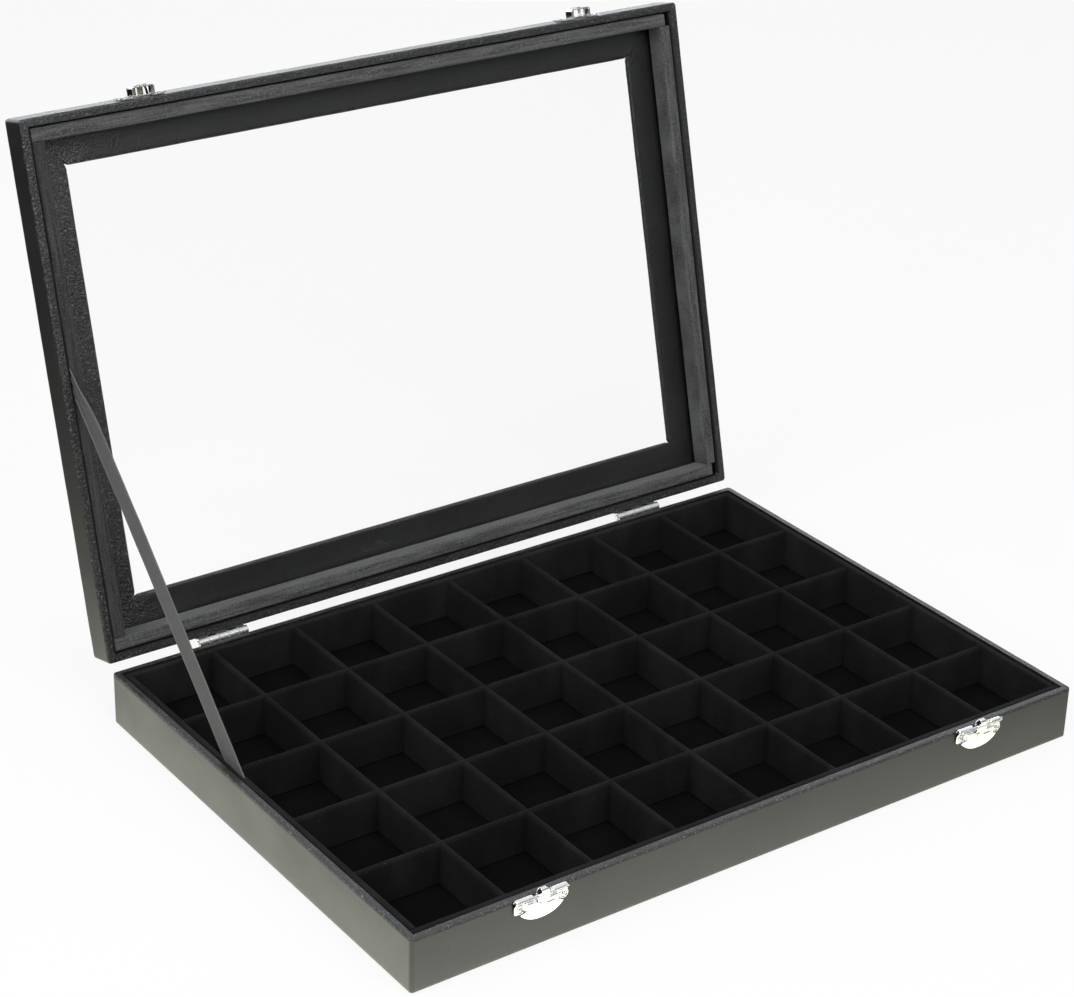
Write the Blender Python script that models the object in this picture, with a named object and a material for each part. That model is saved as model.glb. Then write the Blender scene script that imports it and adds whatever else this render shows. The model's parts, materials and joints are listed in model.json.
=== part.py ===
# Glass-lidded jewellery case: an open tray of small compartments, a hinged window lid, two front catches and a stay strap.
# Frame: X runs along the long side, the catches face -Y, Z is up, and the origin is the middle of the underside.
# The lid is shown open, held by the taut strap. Every moving piece hangs from an empty on its own axis.
from math import atan2, cos, pi, radians, sin, sqrt, tan

import bmesh
import bpy
from mathutils import Vector

MM = 0.001

# Case
CASE_WIDTH = 350 * MM
CASE_DEPTH = 242 * MM
BASE_HEIGHT = 25 * MM
LID_HEIGHT = 15 * MM
BASE_WALL = 3.7 * MM
LID_WALL = 4.3 * MM
CORNER_RADIUS = 1.6 * MM
INNER_CORNER_RADIUS = 0.3 * MM
EDGE_RADIUS = 0.8 * MM
GAP = 0.3 * MM
OVERRUN = 2 * MM

# Tray inside
BOTTOM_THICKNESS = 3 * MM
PAD_THICKNESS = 1.7 * MM
LINER_THICKNESS = 2.8 * MM
LINER_BELOW_RIM = 0.4 * MM
LINER_EDGE_RADIUS = 0.5 * MM
DIVIDER_THICKNESS = 3 * MM
DIVIDER_BELOW_RIM = 1 * MM
LAP_HEIGHT_SHARE = 0.5
ROWS = 5
COLUMNS = 8

# Lid inside
WINDOW_BORDER = 24 * MM
LID_FACE_THICKNESS = 2.3 * MM
WINDOW_EDGE_RADIUS = 0.7 * MM
GLASS_THICKNESS = 2 * MM
BEAD_THICKNESS = 6 * MM
BEAD_BELOW_RIM = 0.4 * MM
BEAD_EDGE_RADIUS = 0.6 * MM
BEAD_SHORT_END = 2.8 * MM
LID_OPEN_DEG = 104.2

# Hinges
HINGE_FROM_END = 57 * MM
HINGE_LENGTH = 25 * MM
HINGE_LEAF_HEIGHT = 10 * MM
HINGE_BARREL_RADIUS = 2 * MM
HINGE_SHEET = 0.7 * MM
HINGE_PIN_RADIUS = 1 * MM
HINGE_PIN_STANDOUT = 0.4 * MM
HINGE_NAIL_RADIUS = 0.7 * MM
HINGE_CORNER_RADIUS = 1.2 * MM
KNUCKLES = 5
CURL_END_DEG = -95

# Catches
LEFT_CATCH_FROM_END = 59.8 * MM
RIGHT_CATCH_FROM_END = 56.2 * MM
CATCH_WIDTH = 25.6 * MM
CATCH_EAR_HEIGHT = 6 * MM
CATCH_SHEET = 0.6 * MM
CATCH_AXIS_BELOW_RIM = 0.4 * MM
CATCH_BARREL_RADIUS = 1.4 * MM
CATCH_PIN_RADIUS = 0.5 * MM
CATCH_KNUCKLE_START = 5.2 * MM
CATCH_KNUCKLE_END = 12.2 * MM
CATCH_NOTCH_DEPTH = 1.9 * MM
CATCH_EAR_RADIUS = 1.3 * MM
CATCH_NAIL_OFFSET = 10 * MM
CATCH_NAIL_BELOW_AXIS = 4.2 * MM
CATCH_NAIL_RADIUS = 0.6 * MM

# Catch lever
LEVER_CHORD = 20.8 * MM
LEVER_SAGITTA = 4.2 * MM
LEVER_CHORD_BELOW_AXIS = 6.2 * MM
LEVER_WAIST = 12.6 * MM
LEVER_NECK = 6.4 * MM
LEVER_SHOULDER_BELOW_AXIS = 2.1 * MM
LEVER_WAIST_RISE = 1.5 * MM
LEVER_TIP_RADIUS = 0.5 * MM
LEVER_SHOULDER_RADIUS = 0.6 * MM
LEVER_BULGE = 0.9 * MM
LEVER_FOOT_STANDOFF = 0.5 * MM
LEVER_NOSE_RADIUS = 0.8 * MM
LEVER_NOSE_RISE = 2.9 * MM
LEVER_NOSE_REACH = 0.4 * MM

# Catch spring
SPRING_WIRE_RADIUS = 0.18 * MM
SPRING_COIL_RADIUS = 1.05 * MM
SPRING_PITCH = 0.8 * MM
SPRING_TURNS = 1.4
SPRING_STEPS_PER_TURN = 12

# Lid keeper
KEEPER_WIDTH = 22 * MM
KEEPER_HEIGHT = 8.5 * MM
KEEPER_SHEET = 0.5 * MM
KEEPER_ABOVE_RIM = 0.8 * MM
BRIDGE_WIDTH = 10.8 * MM
BRIDGE_HEIGHT = 5 * MM
BRIDGE_STANDOUT = 5.1 * MM
BRIDGE_RADIUS = 1 * MM
KEEPER_WINDOW_WIDTH = 8 * MM
KEEPER_WINDOW_HEIGHT = 4.6 * MM
KEEPER_CORNER_RADIUS = 1 * MM
KEEPER_NAIL_RADIUS = 0.6 * MM

# Stay strap
STRAP_WIDTH = 11.6 * MM
STRAP_THICKNESS = 0.8 * MM
STRAP_FOOT_INSET = 5.6 * MM
STRAP_HEAD_INSET = 5 * MM
STRAP_FOOT_Y = 22 * MM
STRAP_HEAD_Y = -8.5 * MM
STRAP_BOW = 0.5 * MM
STRAP_STATIONS = 12

# Round stretches
EDGE_STEPS = 3
CORNER_STEPS = 4
CURL_STEPS = 18
PIN_SIDES = 20
HOLE_SIDES = 10
ARC_STEPS = 16
WIRE_SIDES = 8

# Places worked out from the sizes above
HALF_WIDTH = CASE_WIDTH / 2
HALF_DEPTH = CASE_DEPTH / 2
LID_RIM = BASE_HEIGHT + GAP
LID_TOP = LID_RIM + LID_HEIGHT
FLOOR_TOP = BOTTOM_THICKNESS + GAP + PAD_THICKNESS
INNER_HALF_WIDTH = HALF_WIDTH - BASE_WALL - GAP - LINER_THICKNESS
INNER_HALF_DEPTH = HALF_DEPTH - BASE_WALL - GAP - LINER_THICKNESS
LINER_TOP = BASE_HEIGHT - LINER_BELOW_RIM
DIVIDER_TOP = BASE_HEIGHT - DIVIDER_BELOW_RIM
DIVIDER_FOOT = FLOOR_TOP + GAP
HINGE_OFFSET = HALF_WIDTH - HINGE_FROM_END
LEFT_CATCH_X = LEFT_CATCH_FROM_END - HALF_WIDTH
RIGHT_CATCH_X = HALF_WIDTH - RIGHT_CATCH_FROM_END
HINGE_AXIS_Y = HALF_DEPTH + GAP + HINGE_BARREL_RADIUS
HINGE_AXIS_Z = BASE_HEIGHT + GAP / 2
CATCH_AXIS_Y = -(HALF_DEPTH + GAP + CATCH_BARREL_RADIUS)
CATCH_AXIS_Z = BASE_HEIGHT - CATCH_AXIS_BELOW_RIM

# Finishes: colour, metallic value and roughness
FINISHES = {
    "leatherette": ((0.028, 0.028, 0.027, 1), 0.0, 0.55),
    "velvet": ((0.006, 0.006, 0.006, 1), 0.0, 0.95),
    "bead_cloth": ((0.05, 0.05, 0.048, 1), 0.0, 0.85),
    "glass": ((0.95, 0.98, 0.97, 0.2), 0.0, 0.03),
    "chrome": ((0.8, 0.8, 0.78, 1), 1.0, 0.12),
    "steel": ((0.55, 0.55, 0.54, 1), 1.0, 0.3),
    "ribbon": ((0.05, 0.05, 0.05, 1), 0.0, 0.9),
}


def clear_scene():
    for item in list(bpy.data.objects):
        bpy.data.objects.remove(item, do_unlink=True)


def make_finishes():
    finishes = {}
    for name, (colour, metallic, roughness) in FINISHES.items():
        material = bpy.data.materials.new(name)
        material.use_nodes = True
        shader = material.node_tree.nodes["Principled BSDF"]
        shader.inputs["Base Color"].default_value = colour
        shader.inputs["Metallic"].default_value = metallic
        shader.inputs["Roughness"].default_value = roughness
        finishes[name] = material
    return finishes


def pivot(name, location, tilt_deg=0.0):
    """An empty on a moving piece's axis, turned about X to the pose that is shown."""
    empty = bpy.data.objects.new(name, None)
    bpy.context.collection.objects.link(empty)
    empty.location = location
    empty.rotation_euler = (radians(tilt_deg), 0, 0)
    return empty


def solid(name, bm):
    """Close a bmesh into an object whose faces point outwards."""
    bmesh.ops.recalc_face_normals(bm, faces=bm.faces)
    mesh = bpy.data.meshes.new(name)
    bm.to_mesh(mesh)
    bm.free()
    obj = bpy.data.objects.new(name, mesh)
    bpy.context.collection.objects.link(obj)
    return obj


def combine(obj, other, operation):
    """Cut, join or intersect obj with other, which is used up."""
    modifier = obj.modifiers.new(operation.lower(), "BOOLEAN")
    modifier.operation = operation
    modifier.solver = "EXACT"
    modifier.object = other
    graph = bpy.context.evaluated_depsgraph_get()
    result = bpy.data.meshes.new_from_object(obj.evaluated_get(graph))
    obj.modifiers.clear()
    obj.data = result
    bpy.data.objects.remove(other, do_unlink=True)
    return obj


def finish(obj, material, holder=None, smooth_deg=35):
    """Give obj its material and hang it from its axis, drawn at the closed pose until now."""
    obj.data.materials.clear()
    obj.data.materials.append(material)
    obj.data.shade_smooth()
    obj.data.set_sharp_from_angle(angle=radians(smooth_deg))
    if holder is not None:
        for vertex in obj.data.vertices:
            vertex.co -= holder.location
        obj.parent = holder
    return obj


def arc(centre, radius, start_deg, end_deg, steps):
    """Points along an arc in the plane, both ends included."""
    angles = [radians(start_deg + (end_deg - start_deg) * i / steps) for i in range(steps + 1)]
    return [(centre[0] + radius * cos(a), centre[1] + radius * sin(a)) for a in angles]


def fillet(points, radii, steps=EDGE_STEPS):
    """Round the corners of a closed outline, each with its own radius."""
    outline = []
    count = len(points)
    for i, radius in enumerate(radii):
        corner = Vector(points[i])
        before = Vector(points[i - 1]) - corner
        after = Vector(points[(i + 1) % count]) - corner
        if radius == 0:
            outline.append(tuple(corner))
            continue
        half = before.angle(after) / 2
        reach = radius / tan(half)
        start = corner + before.normalized() * reach
        end = corner + after.normalized() * reach
        centre = corner + (before.normalized() + after.normalized()).normalized() * radius / sin(half)
        first = atan2(start.y - centre.y, start.x - centre.x)
        turn = atan2(end.y - centre.y, end.x - centre.x) - first
        turn = (turn + pi) % (2 * pi) - pi
        for k in range(steps + 1):
            angle = first + turn * k / steps
            outline.append((centre.x + radius * cos(angle), centre.y + radius * sin(angle)))
    return outline


def rectangle(low, high):
    return [(low[0], low[1]), (high[0], low[1]), (high[0], high[1]), (low[0], high[1])]


def prism(name, outline, axis, low, high):
    """Extrude a closed outline along X, Y or Z. The outline's two coordinates are the other two, in that order."""
    bm = bmesh.new()
    across = [i for i in range(3) if i != axis]
    ends = []
    for level in (low, high):
        row = []
        for point in outline:
            place = [0.0, 0.0, 0.0]
            place[axis] = level
            place[across[0]] = point[0]
            place[across[1]] = point[1]
            row.append(bm.verts.new(place))
        ends.append(row)
    bm.faces.new(ends[0])
    bm.faces.new(ends[1])
    for i in range(len(outline)):
        j = (i + 1) % len(outline)
        bm.faces.new((ends[0][i], ends[0][j], ends[1][j], ends[1][i]))
    return solid(name, bm)


def rod(name, centre, radius, axis, low, high, sides=PIN_SIDES):
    """A round bar along an axis, its centre given in the other two coordinates."""
    return prism(name, arc(centre, radius, 0, 360, sides)[:-1], axis, low, high)


def frame_ring(name, profile):
    """Sweep a closed profile of (inset, height) points round the case's rounded outline."""
    bm = bmesh.new()
    loops = []
    for inset, height in profile:
        radius = max(CORNER_RADIUS - inset, INNER_CORNER_RADIUS)
        loop = []
        for k, (side_x, side_y) in enumerate(((1, 1), (-1, 1), (-1, -1), (1, -1))):
            centre = (side_x * (HALF_WIDTH - inset - radius), side_y * (HALF_DEPTH - inset - radius))
            for x, y in arc(centre, radius, 90 * k, 90 * (k + 1), CORNER_STEPS):
                loop.append(bm.verts.new((x, y, height)))
        loops.append(loop)
    for i, loop in enumerate(loops):
        following = loops[(i + 1) % len(loops)]
        for j in range(len(loop)):
            k = (j + 1) % len(loop)
            bm.faces.new((loop[j], loop[k], following[k], following[j]))
    return solid(name, bm)


def mitred_side(name, profile, side, reach):
    """One side of a swept frame, cut at 45 degrees at both corners. Reach is the frame's width inwards."""
    board = frame_ring(name, profile)
    near = OVERRUN
    far = -(reach + OVERRUN)
    slack = GAP / sqrt(2)
    along = HALF_WIDTH if side in ("front", "back") else HALF_DEPTH
    depth = HALF_DEPTH if side in ("front", "back") else HALF_WIDTH
    sign = -1 if side in ("front", "left") else 1
    corners = [(-(along + near - slack), near), (along + near - slack, near),
               (along + far - slack, far), (-(along + far - slack), far)]
    outline = [(a, sign * (depth + d)) for a, d in corners]
    if side in ("left", "right"):
        outline = [(b, a) for a, b in outline]
    wedge = prism("wedge", outline, 2, -OVERRUN, LID_TOP + OVERRUN)
    return combine(board, wedge, "INTERSECT")


def base_walls(finishes):
    corners = rectangle((0, 0), (BASE_WALL, BASE_HEIGHT))
    profile = fillet(corners, [EDGE_RADIUS, 0, EDGE_RADIUS, EDGE_RADIUS])
    for side in ("front", "back", "left", "right"):
        finish(mitred_side(f"base_{side}_wall", profile, side, BASE_WALL), finishes["leatherette"])


def slab(name, half_x, half_y, low, high, radius=EDGE_RADIUS):
    """A flat board with small rounded corners in plan."""
    outline = fillet(rectangle((-half_x, -half_y), (half_x, half_y)), [radius] * 4)
    return prism(name, outline, 2, low, high)


def base_floor(finishes):
    half_x = HALF_WIDTH - BASE_WALL - GAP
    half_y = HALF_DEPTH - BASE_WALL - GAP
    finish(slab("base_bottom_board", half_x, half_y, 0, BOTTOM_THICKNESS), finishes["leatherette"])
    finish(slab("base_floor_pad", half_x, half_y, BOTTOM_THICKNESS + GAP, FLOOR_TOP), finishes["velvet"])


def soft_strip(name, axis, low, high, across_low, across_high, foot, top, radius):
    """A wrapped strip standing on edge, its two upper edges rounded, running along X (0) or Y (1)."""
    corners = rectangle((across_low, foot), (across_high, top))
    return prism(name, fillet(corners, [0, 0, radius, radius]), axis, low, high)


def base_liners(finishes):
    outer_x = HALF_WIDTH - BASE_WALL - GAP
    outer_y = HALF_DEPTH - BASE_WALL - GAP
    radius = LINER_EDGE_RADIUS
    for side, sign in (("front", -1), ("back", 1)):
        near, far = sorted((sign * outer_y, sign * INNER_HALF_DEPTH))
        strip = soft_strip(f"base_{side}_liner", 0, -outer_x, outer_x, near, far, DIVIDER_FOOT, LINER_TOP, radius)
        finish(strip, finishes["velvet"])
    reach = INNER_HALF_DEPTH - GAP
    for side, sign in (("left", -1), ("right", 1)):
        near, far = sorted((sign * outer_x, sign * INNER_HALF_WIDTH))
        strip = soft_strip(f"base_{side}_liner", 1, -reach, reach, near, far, DIVIDER_FOOT, LINER_TOP, radius)
        finish(strip, finishes["velvet"])


def divider_places(half_length, cells):
    """Middle lines of the dividers that split a length into equal cells."""
    pitch = (2 * half_length + DIVIDER_THICKNESS) / cells
    return [-half_length - DIVIDER_THICKNESS / 2 + pitch * (i + 1) for i in range(cells - 1)]


def slots(name, places, axis, across, low, high):
    """A row of slot cutters for the half-lap joints, side by side along an axis."""
    bm = bmesh.new()
    half = DIVIDER_THICKNESS / 2 + GAP
    for place in places:
        centre = [0, 0, (low + high) / 2]
        centre[axis] = place
        centre[1 - axis] = across
        size = [0, 0, high - low]
        size[axis] = 2 * half
        size[1 - axis] = DIVIDER_THICKNESS + 2 * OVERRUN
        box = bmesh.ops.create_cube(bm, size=1)
        bmesh.ops.scale(bm, vec=size, verts=box["verts"])
        bmesh.ops.translate(bm, vec=centre, verts=box["verts"])
    return solid(name, bm)


def dividers(finishes):
    """Egg-crate of crossing dividers: those along X are slotted from above, those along Y from below."""
    row_places = divider_places(INNER_HALF_DEPTH, ROWS)
    column_places = divider_places(INNER_HALF_WIDTH, COLUMNS)
    lap = DIVIDER_FOOT + (DIVIDER_TOP - DIVIDER_FOOT) * LAP_HEIGHT_SHARE
    half = DIVIDER_THICKNESS / 2
    crest = half * 0.9
    for i, place in enumerate(row_places):
        reach = INNER_HALF_WIDTH - GAP
        board = soft_strip(f"row_divider_{i + 1}", 0, -reach, reach, place - half, place + half,
                           DIVIDER_FOOT, DIVIDER_TOP, crest)
        cutters = slots("slots", column_places, 0, place, lap - GAP / 2, DIVIDER_TOP + OVERRUN)
        finish(combine(board, cutters, "DIFFERENCE"), finishes["velvet"])
    for i, place in enumerate(column_places):
        reach = INNER_HALF_DEPTH - GAP
        board = soft_strip(f"cross_divider_{i + 1}", 1, -reach, reach, place - half, place + half,
                           DIVIDER_FOOT, DIVIDER_TOP, crest)
        cutters = slots("slots", row_places, 1, place, DIVIDER_FOOT - OVERRUN, lap + GAP / 2)
        finish(combine(board, cutters, "DIFFERENCE"), finishes["velvet"])


def lid_rails(finishes, holder):
    """Four mitred rails of L section: the side wall and the face that borders the window."""
    inner_face = LID_TOP - LID_FACE_THICKNESS
    corners = [(0, LID_RIM), (LID_WALL, LID_RIM), (LID_WALL, inner_face), (WINDOW_BORDER, inner_face),
               (WINDOW_BORDER, LID_TOP), (0, LID_TOP)]
    radii = [EDGE_RADIUS, EDGE_RADIUS, 0, WINDOW_EDGE_RADIUS, WINDOW_EDGE_RADIUS, EDGE_RADIUS]
    profile = fillet(corners, radii)
    for side in ("front", "back", "left", "right"):
        rail = mitred_side(f"lid_{side}_rail", profile, side, WINDOW_BORDER)
        finish(rail, finishes["leatherette"], holder)


def lid_inside(finishes, holder):
    """The pane lies on the rails' faces, and four cloth-wrapped beads hold it there."""
    half_x = HALF_WIDTH - LID_WALL - GAP
    half_y = HALF_DEPTH - LID_WALL - GAP
    glass_top = LID_TOP - LID_FACE_THICKNESS - GAP
    glass_foot = glass_top - GLASS_THICKNESS
    finish(slab("lid_glass", half_x, half_y, glass_foot, glass_top), finishes["glass"], holder)
    low = LID_RIM + BEAD_BELOW_RIM
    high = glass_foot - GAP
    inner_x = half_x - BEAD_THICKNESS
    inner_y = half_y - BEAD_THICKNESS
    for side, sign in (("front", -1), ("back", 1)):
        near, far = sorted((sign * half_y, sign * inner_y))
        corners = rectangle((near, low), (far, high))
        outline = fillet(corners, [BEAD_EDGE_RADIUS, BEAD_EDGE_RADIUS, 0, 0])
        bead = prism(f"lid_{side}_bead", outline, 0, -half_x, half_x - BEAD_SHORT_END)
        finish(bead, finishes["bead_cloth"], holder)
    for side, sign in (("left", -1), ("right", 1)):
        near, far = sorted((sign * half_x, sign * inner_x))
        corners = rectangle((near, low), (far, high))
        outline = fillet(corners, [BEAD_EDGE_RADIUS, BEAD_EDGE_RADIUS, 0, 0])
        bead = prism(f"lid_{side}_bead", outline, 1, -(inner_y - GAP), inner_y - GAP)
        finish(bead, finishes["bead_cloth"], holder)


def curled_sheet(name, outward, axis_y, axis_z, radius, sheet, foot, upward, low, high):
    """A plate rolled round a pin. Outward is the side the roll stands on, upward the side the plate hangs from."""
    inner = radius - sheet
    outer_arc = arc((0, 0), radius, 180, CURL_END_DEG, CURL_STEPS)
    inner_arc = arc((0, 0), inner, CURL_END_DEG, 180, CURL_STEPS)
    section = [(-radius, -foot)] + outer_arc + inner_arc + [(-inner, -foot)]
    outline = [(axis_y + outward * q, axis_z + upward * h) for q, h in section]
    return prism(name, outline, 0, low, high)


def comb_outline(low, high, foot, edge, tip, teeth, radius):
    """A plate's outline in (x, height): a rounded foot, and teeth that stand up to the roll."""
    points = [(low, foot), (high, foot)]
    radii = [radius, radius]
    for start, end in sorted(teeth, reverse=True):
        if end < high:
            points.append((high if len(points) == 2 else end, edge))
            radii.append(0)
            if points[-1][0] != end:
                points.append((end, edge))
                radii.append(0)
        points += [(end, tip), (start, tip)]
        radii += [0, 0]
        if start > low:
            points.append((start, edge))
            radii.append(0)
    if teeth and min(teeth)[0] > low:
        points.append((low, edge))
        radii.append(0)
    return fillet(points, radii)


def drill(obj, centres, radius, low, high):
    """Nail holes through a plate, along Y, at (x, z) places."""
    for centre in centres:
        hole = rod("hole", centre, radius, 1, low, high, HOLE_SIDES)
        combine(obj, hole, "DIFFERENCE")
    return obj


def hinge_leaf(name, centre_x, upward, teeth):
    """A butt hinge's leaf: a nailed plate whose knuckles are rolled round the pin."""
    low = centre_x - HINGE_LENGTH / 2
    high = centre_x + HINGE_LENGTH / 2
    leaf = curled_sheet(name, 1, HINGE_AXIS_Y, HINGE_AXIS_Z, HINGE_BARREL_RADIUS, HINGE_SHEET,
                        HINGE_LEAF_HEIGHT, upward, low, high)
    edge = -(HINGE_BARREL_RADIUS + GAP)
    outline = comb_outline(low, high, -HINGE_LEAF_HEIGHT, edge, HINGE_BARREL_RADIUS + GAP, teeth, HINGE_CORNER_RADIUS)
    outline = [(x, HINGE_AXIS_Z + upward * h) for x, h in outline]
    face = HALF_DEPTH - OVERRUN
    back = HINGE_AXIS_Y + HINGE_BARREL_RADIUS + OVERRUN
    shape = prism("shape", outline, 1, face, back)
    combine(leaf, shape, "INTERSECT")
    nail_z = HINGE_AXIS_Z - upward * (HINGE_LEAF_HEIGHT + HINGE_BARREL_RADIUS) / 2
    nails = [(centre_x + side * HINGE_LENGTH / 3, nail_z) for side in (-1, 1)]
    return drill(leaf, nails, HINGE_NAIL_RADIUS, face, back)


def hinges(finishes, lid_holder):
    width = (HINGE_LENGTH - (KNUCKLES - 1) * GAP) / KNUCKLES
    for side, sign in (("left", -1), ("right", 1)):
        centre = sign * HINGE_OFFSET
        starts = [centre - HINGE_LENGTH / 2 + i * (width + GAP) for i in range(KNUCKLES)]
        base_teeth = [(s, s + width) for s in starts[0::2]]
        lid_teeth = [(s, s + width) for s in starts[1::2]]
        finish(hinge_leaf(f"{side}_hinge_base_leaf", centre, 1, base_teeth), finishes["steel"])
        finish(hinge_leaf(f"{side}_hinge_lid_leaf", centre, -1, lid_teeth), finishes["steel"], lid_holder)
        reach = HINGE_LENGTH / 2 + HINGE_PIN_STANDOUT
        pin = rod(f"{side}_hinge_pin", (HINGE_AXIS_Y, HINGE_AXIS_Z), HINGE_PIN_RADIUS, 0, centre - reach, centre + reach)
        finish(pin, finishes["steel"])


def catch_plate(name, centre):
    """The plate nailed to the tray's front: two ears, and knuckles rolled round the lever's pin."""
    low = centre - CATCH_WIDTH / 2
    high = centre + CATCH_WIDTH / 2
    plate = curled_sheet(name, -1, CATCH_AXIS_Y, CATCH_AXIS_Z, CATCH_BARREL_RADIUS, CATCH_SHEET,
                         CATCH_EAR_HEIGHT, 1, low, high)
    teeth = [(centre - CATCH_KNUCKLE_END, centre - CATCH_KNUCKLE_START),
             (centre + CATCH_KNUCKLE_START, centre + CATCH_KNUCKLE_END)]
    edge = -CATCH_NOTCH_DEPTH
    outline = comb_outline(low, high, -CATCH_EAR_HEIGHT, edge, CATCH_BARREL_RADIUS + GAP, teeth, CATCH_EAR_RADIUS)
    outline = [(x, CATCH_AXIS_Z + h) for x, h in outline]
    front = CATCH_AXIS_Y - CATCH_BARREL_RADIUS - OVERRUN
    back = -HALF_DEPTH + OVERRUN
    combine(plate, prism("shape", outline, 1, front, back), "INTERSECT")
    nail_z = CATCH_AXIS_Z - CATCH_NAIL_BELOW_AXIS
    nails = [(centre + side * CATCH_NAIL_OFFSET, nail_z) for side in (-1, 1)]
    return drill(plate, nails, CATCH_NAIL_RADIUS, front, back)


def lever_front_outline(centre):
    """The lever seen from the front: a half-moon flap, a waist between the nails and a narrow neck."""
    chord = -LEVER_CHORD_BELOW_AXIS
    radius = (LEVER_CHORD ** 2 / 4 + LEVER_SAGITTA ** 2) / (2 * LEVER_SAGITTA)
    middle = chord - LEVER_SAGITTA + radius
    half_angle = atan2(LEVER_CHORD / 2, middle - chord) * 180 / pi
    moon = arc((0, middle), radius, -90 - half_angle, -90 + half_angle, ARC_STEPS)
    shoulder = -LEVER_SHOULDER_BELOW_AXIS
    top = LEVER_NOSE_RISE + LEVER_NOSE_RADIUS + OVERRUN
    waist = chord + LEVER_WAIST_RISE
    upper = [(LEVER_WAIST / 2, waist), (LEVER_WAIST / 2, shoulder), (LEVER_NECK / 2, shoulder), (LEVER_NECK / 2, top),
             (-LEVER_NECK / 2, top), (-LEVER_NECK / 2, shoulder), (-LEVER_WAIST / 2, shoulder), (-LEVER_WAIST / 2, waist)]
    corner = LEVER_SHOULDER_RADIUS
    radii = [LEVER_TIP_RADIUS] + [0] * (ARC_STEPS - 1) + [LEVER_TIP_RADIUS]
    radii += [corner, corner, corner, 0, 0, corner, corner, corner]
    outline = fillet(moon + upper, radii)
    return [(centre + x, CATCH_AXIS_Z + h) for x, h in outline]


def lever_flap_section():
    """The flap's side section: a thin sheet that bows outwards from its foot to the pin's boss."""
    foot = -(LEVER_CHORD_BELOW_AXIS + LEVER_SAGITTA + GAP)
    foot_q = LEVER_FOOT_STANDOFF - CATCH_BARREL_RADIUS - GAP
    top_q = CATCH_BARREL_RADIUS - CATCH_SHEET
    inner = []
    for i in range(ARC_STEPS + 1):
        share = i / ARC_STEPS
        bow = LEVER_BULGE * sin(pi * share)
        inner.append((foot_q + (top_q - foot_q) * share + bow, foot - foot * share))
    outer = [(q + CATCH_SHEET, h) for q, h in reversed(inner)]
    return [(CATCH_AXIS_Y - q, CATCH_AXIS_Z + h) for q, h in inner + outer]


def catch_lever(name, centre):
    """The spring-held lever: half-moon flap below the pin, rolled nose above it."""
    reach = LEVER_CHORD / 2 + OVERRUN
    lever = prism(name, lever_flap_section(), 0, centre - reach, centre + reach)
    front = CATCH_AXIS_Y - CATCH_BARREL_RADIUS - OVERRUN
    shape = prism("shape", lever_front_outline(centre), 1, front, -HALF_DEPTH + OVERRUN)
    combine(lever, shape, "INTERSECT")
    half = LEVER_NECK / 2
    axis = (CATCH_AXIS_Y, CATCH_AXIS_Z)
    combine(lever, rod("boss", axis, CATCH_BARREL_RADIUS, 0, centre - half, centre + half), "UNION")
    nose = (CATCH_AXIS_Y - LEVER_NOSE_REACH, CATCH_AXIS_Z + LEVER_NOSE_RISE)
    neck_low = (nose[0] - CATCH_SHEET / 2, CATCH_AXIS_Z + CATCH_PIN_RADIUS + GAP)
    neck_high = (nose[0] + CATCH_SHEET / 2, nose[1])
    combine(lever, prism("neck", rectangle(neck_low, neck_high), 0, centre - half, centre + half), "UNION")
    combine(lever, rod("nose", nose, LEVER_NOSE_RADIUS, 0, centre - half, centre + half, ARC_STEPS), "UNION")
    bore = rod("bore", axis, CATCH_PIN_RADIUS + GAP, 0, centre - half - OVERRUN, centre + half + OVERRUN)
    return combine(lever, bore, "DIFFERENCE")


def catch_spring(name, centre):
    """A torsion spring's coil round the pin, in the space beside the lever's boss."""
    turns = SPRING_TURNS * SPRING_STEPS_PER_TURN
    start = centre + LEVER_NECK / 2 + GAP + SPRING_WIRE_RADIUS
    curve = bpy.data.curves.new(name, "CURVE")
    curve.dimensions = "3D"
    curve.bevel_depth = SPRING_WIRE_RADIUS
    curve.bevel_resolution = 1
    curve.use_fill_caps = True
    spline = curve.splines.new("POLY")
    count = round(turns) + 1
    spline.points.add(count - 1)
    for i in range(count):
        angle = 2 * pi * i / SPRING_STEPS_PER_TURN
        x = start + SPRING_PITCH * i / SPRING_STEPS_PER_TURN
        y = CATCH_AXIS_Y + SPRING_COIL_RADIUS * cos(angle)
        z = CATCH_AXIS_Z + SPRING_COIL_RADIUS * sin(angle)
        spline.points[i].co = (x, y, z, 1)
    guide = bpy.data.objects.new("guide", curve)
    bpy.context.collection.objects.link(guide)
    graph = bpy.context.evaluated_depsgraph_get()
    mesh = bpy.data.meshes.new_from_object(guide.evaluated_get(graph))
    bpy.data.objects.remove(guide, do_unlink=True)
    bm = bmesh.new()
    bm.from_mesh(mesh)
    bmesh.ops.remove_doubles(bm, verts=bm.verts, dist=SPRING_WIRE_RADIUS / 100)
    return solid(name, bm)


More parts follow.
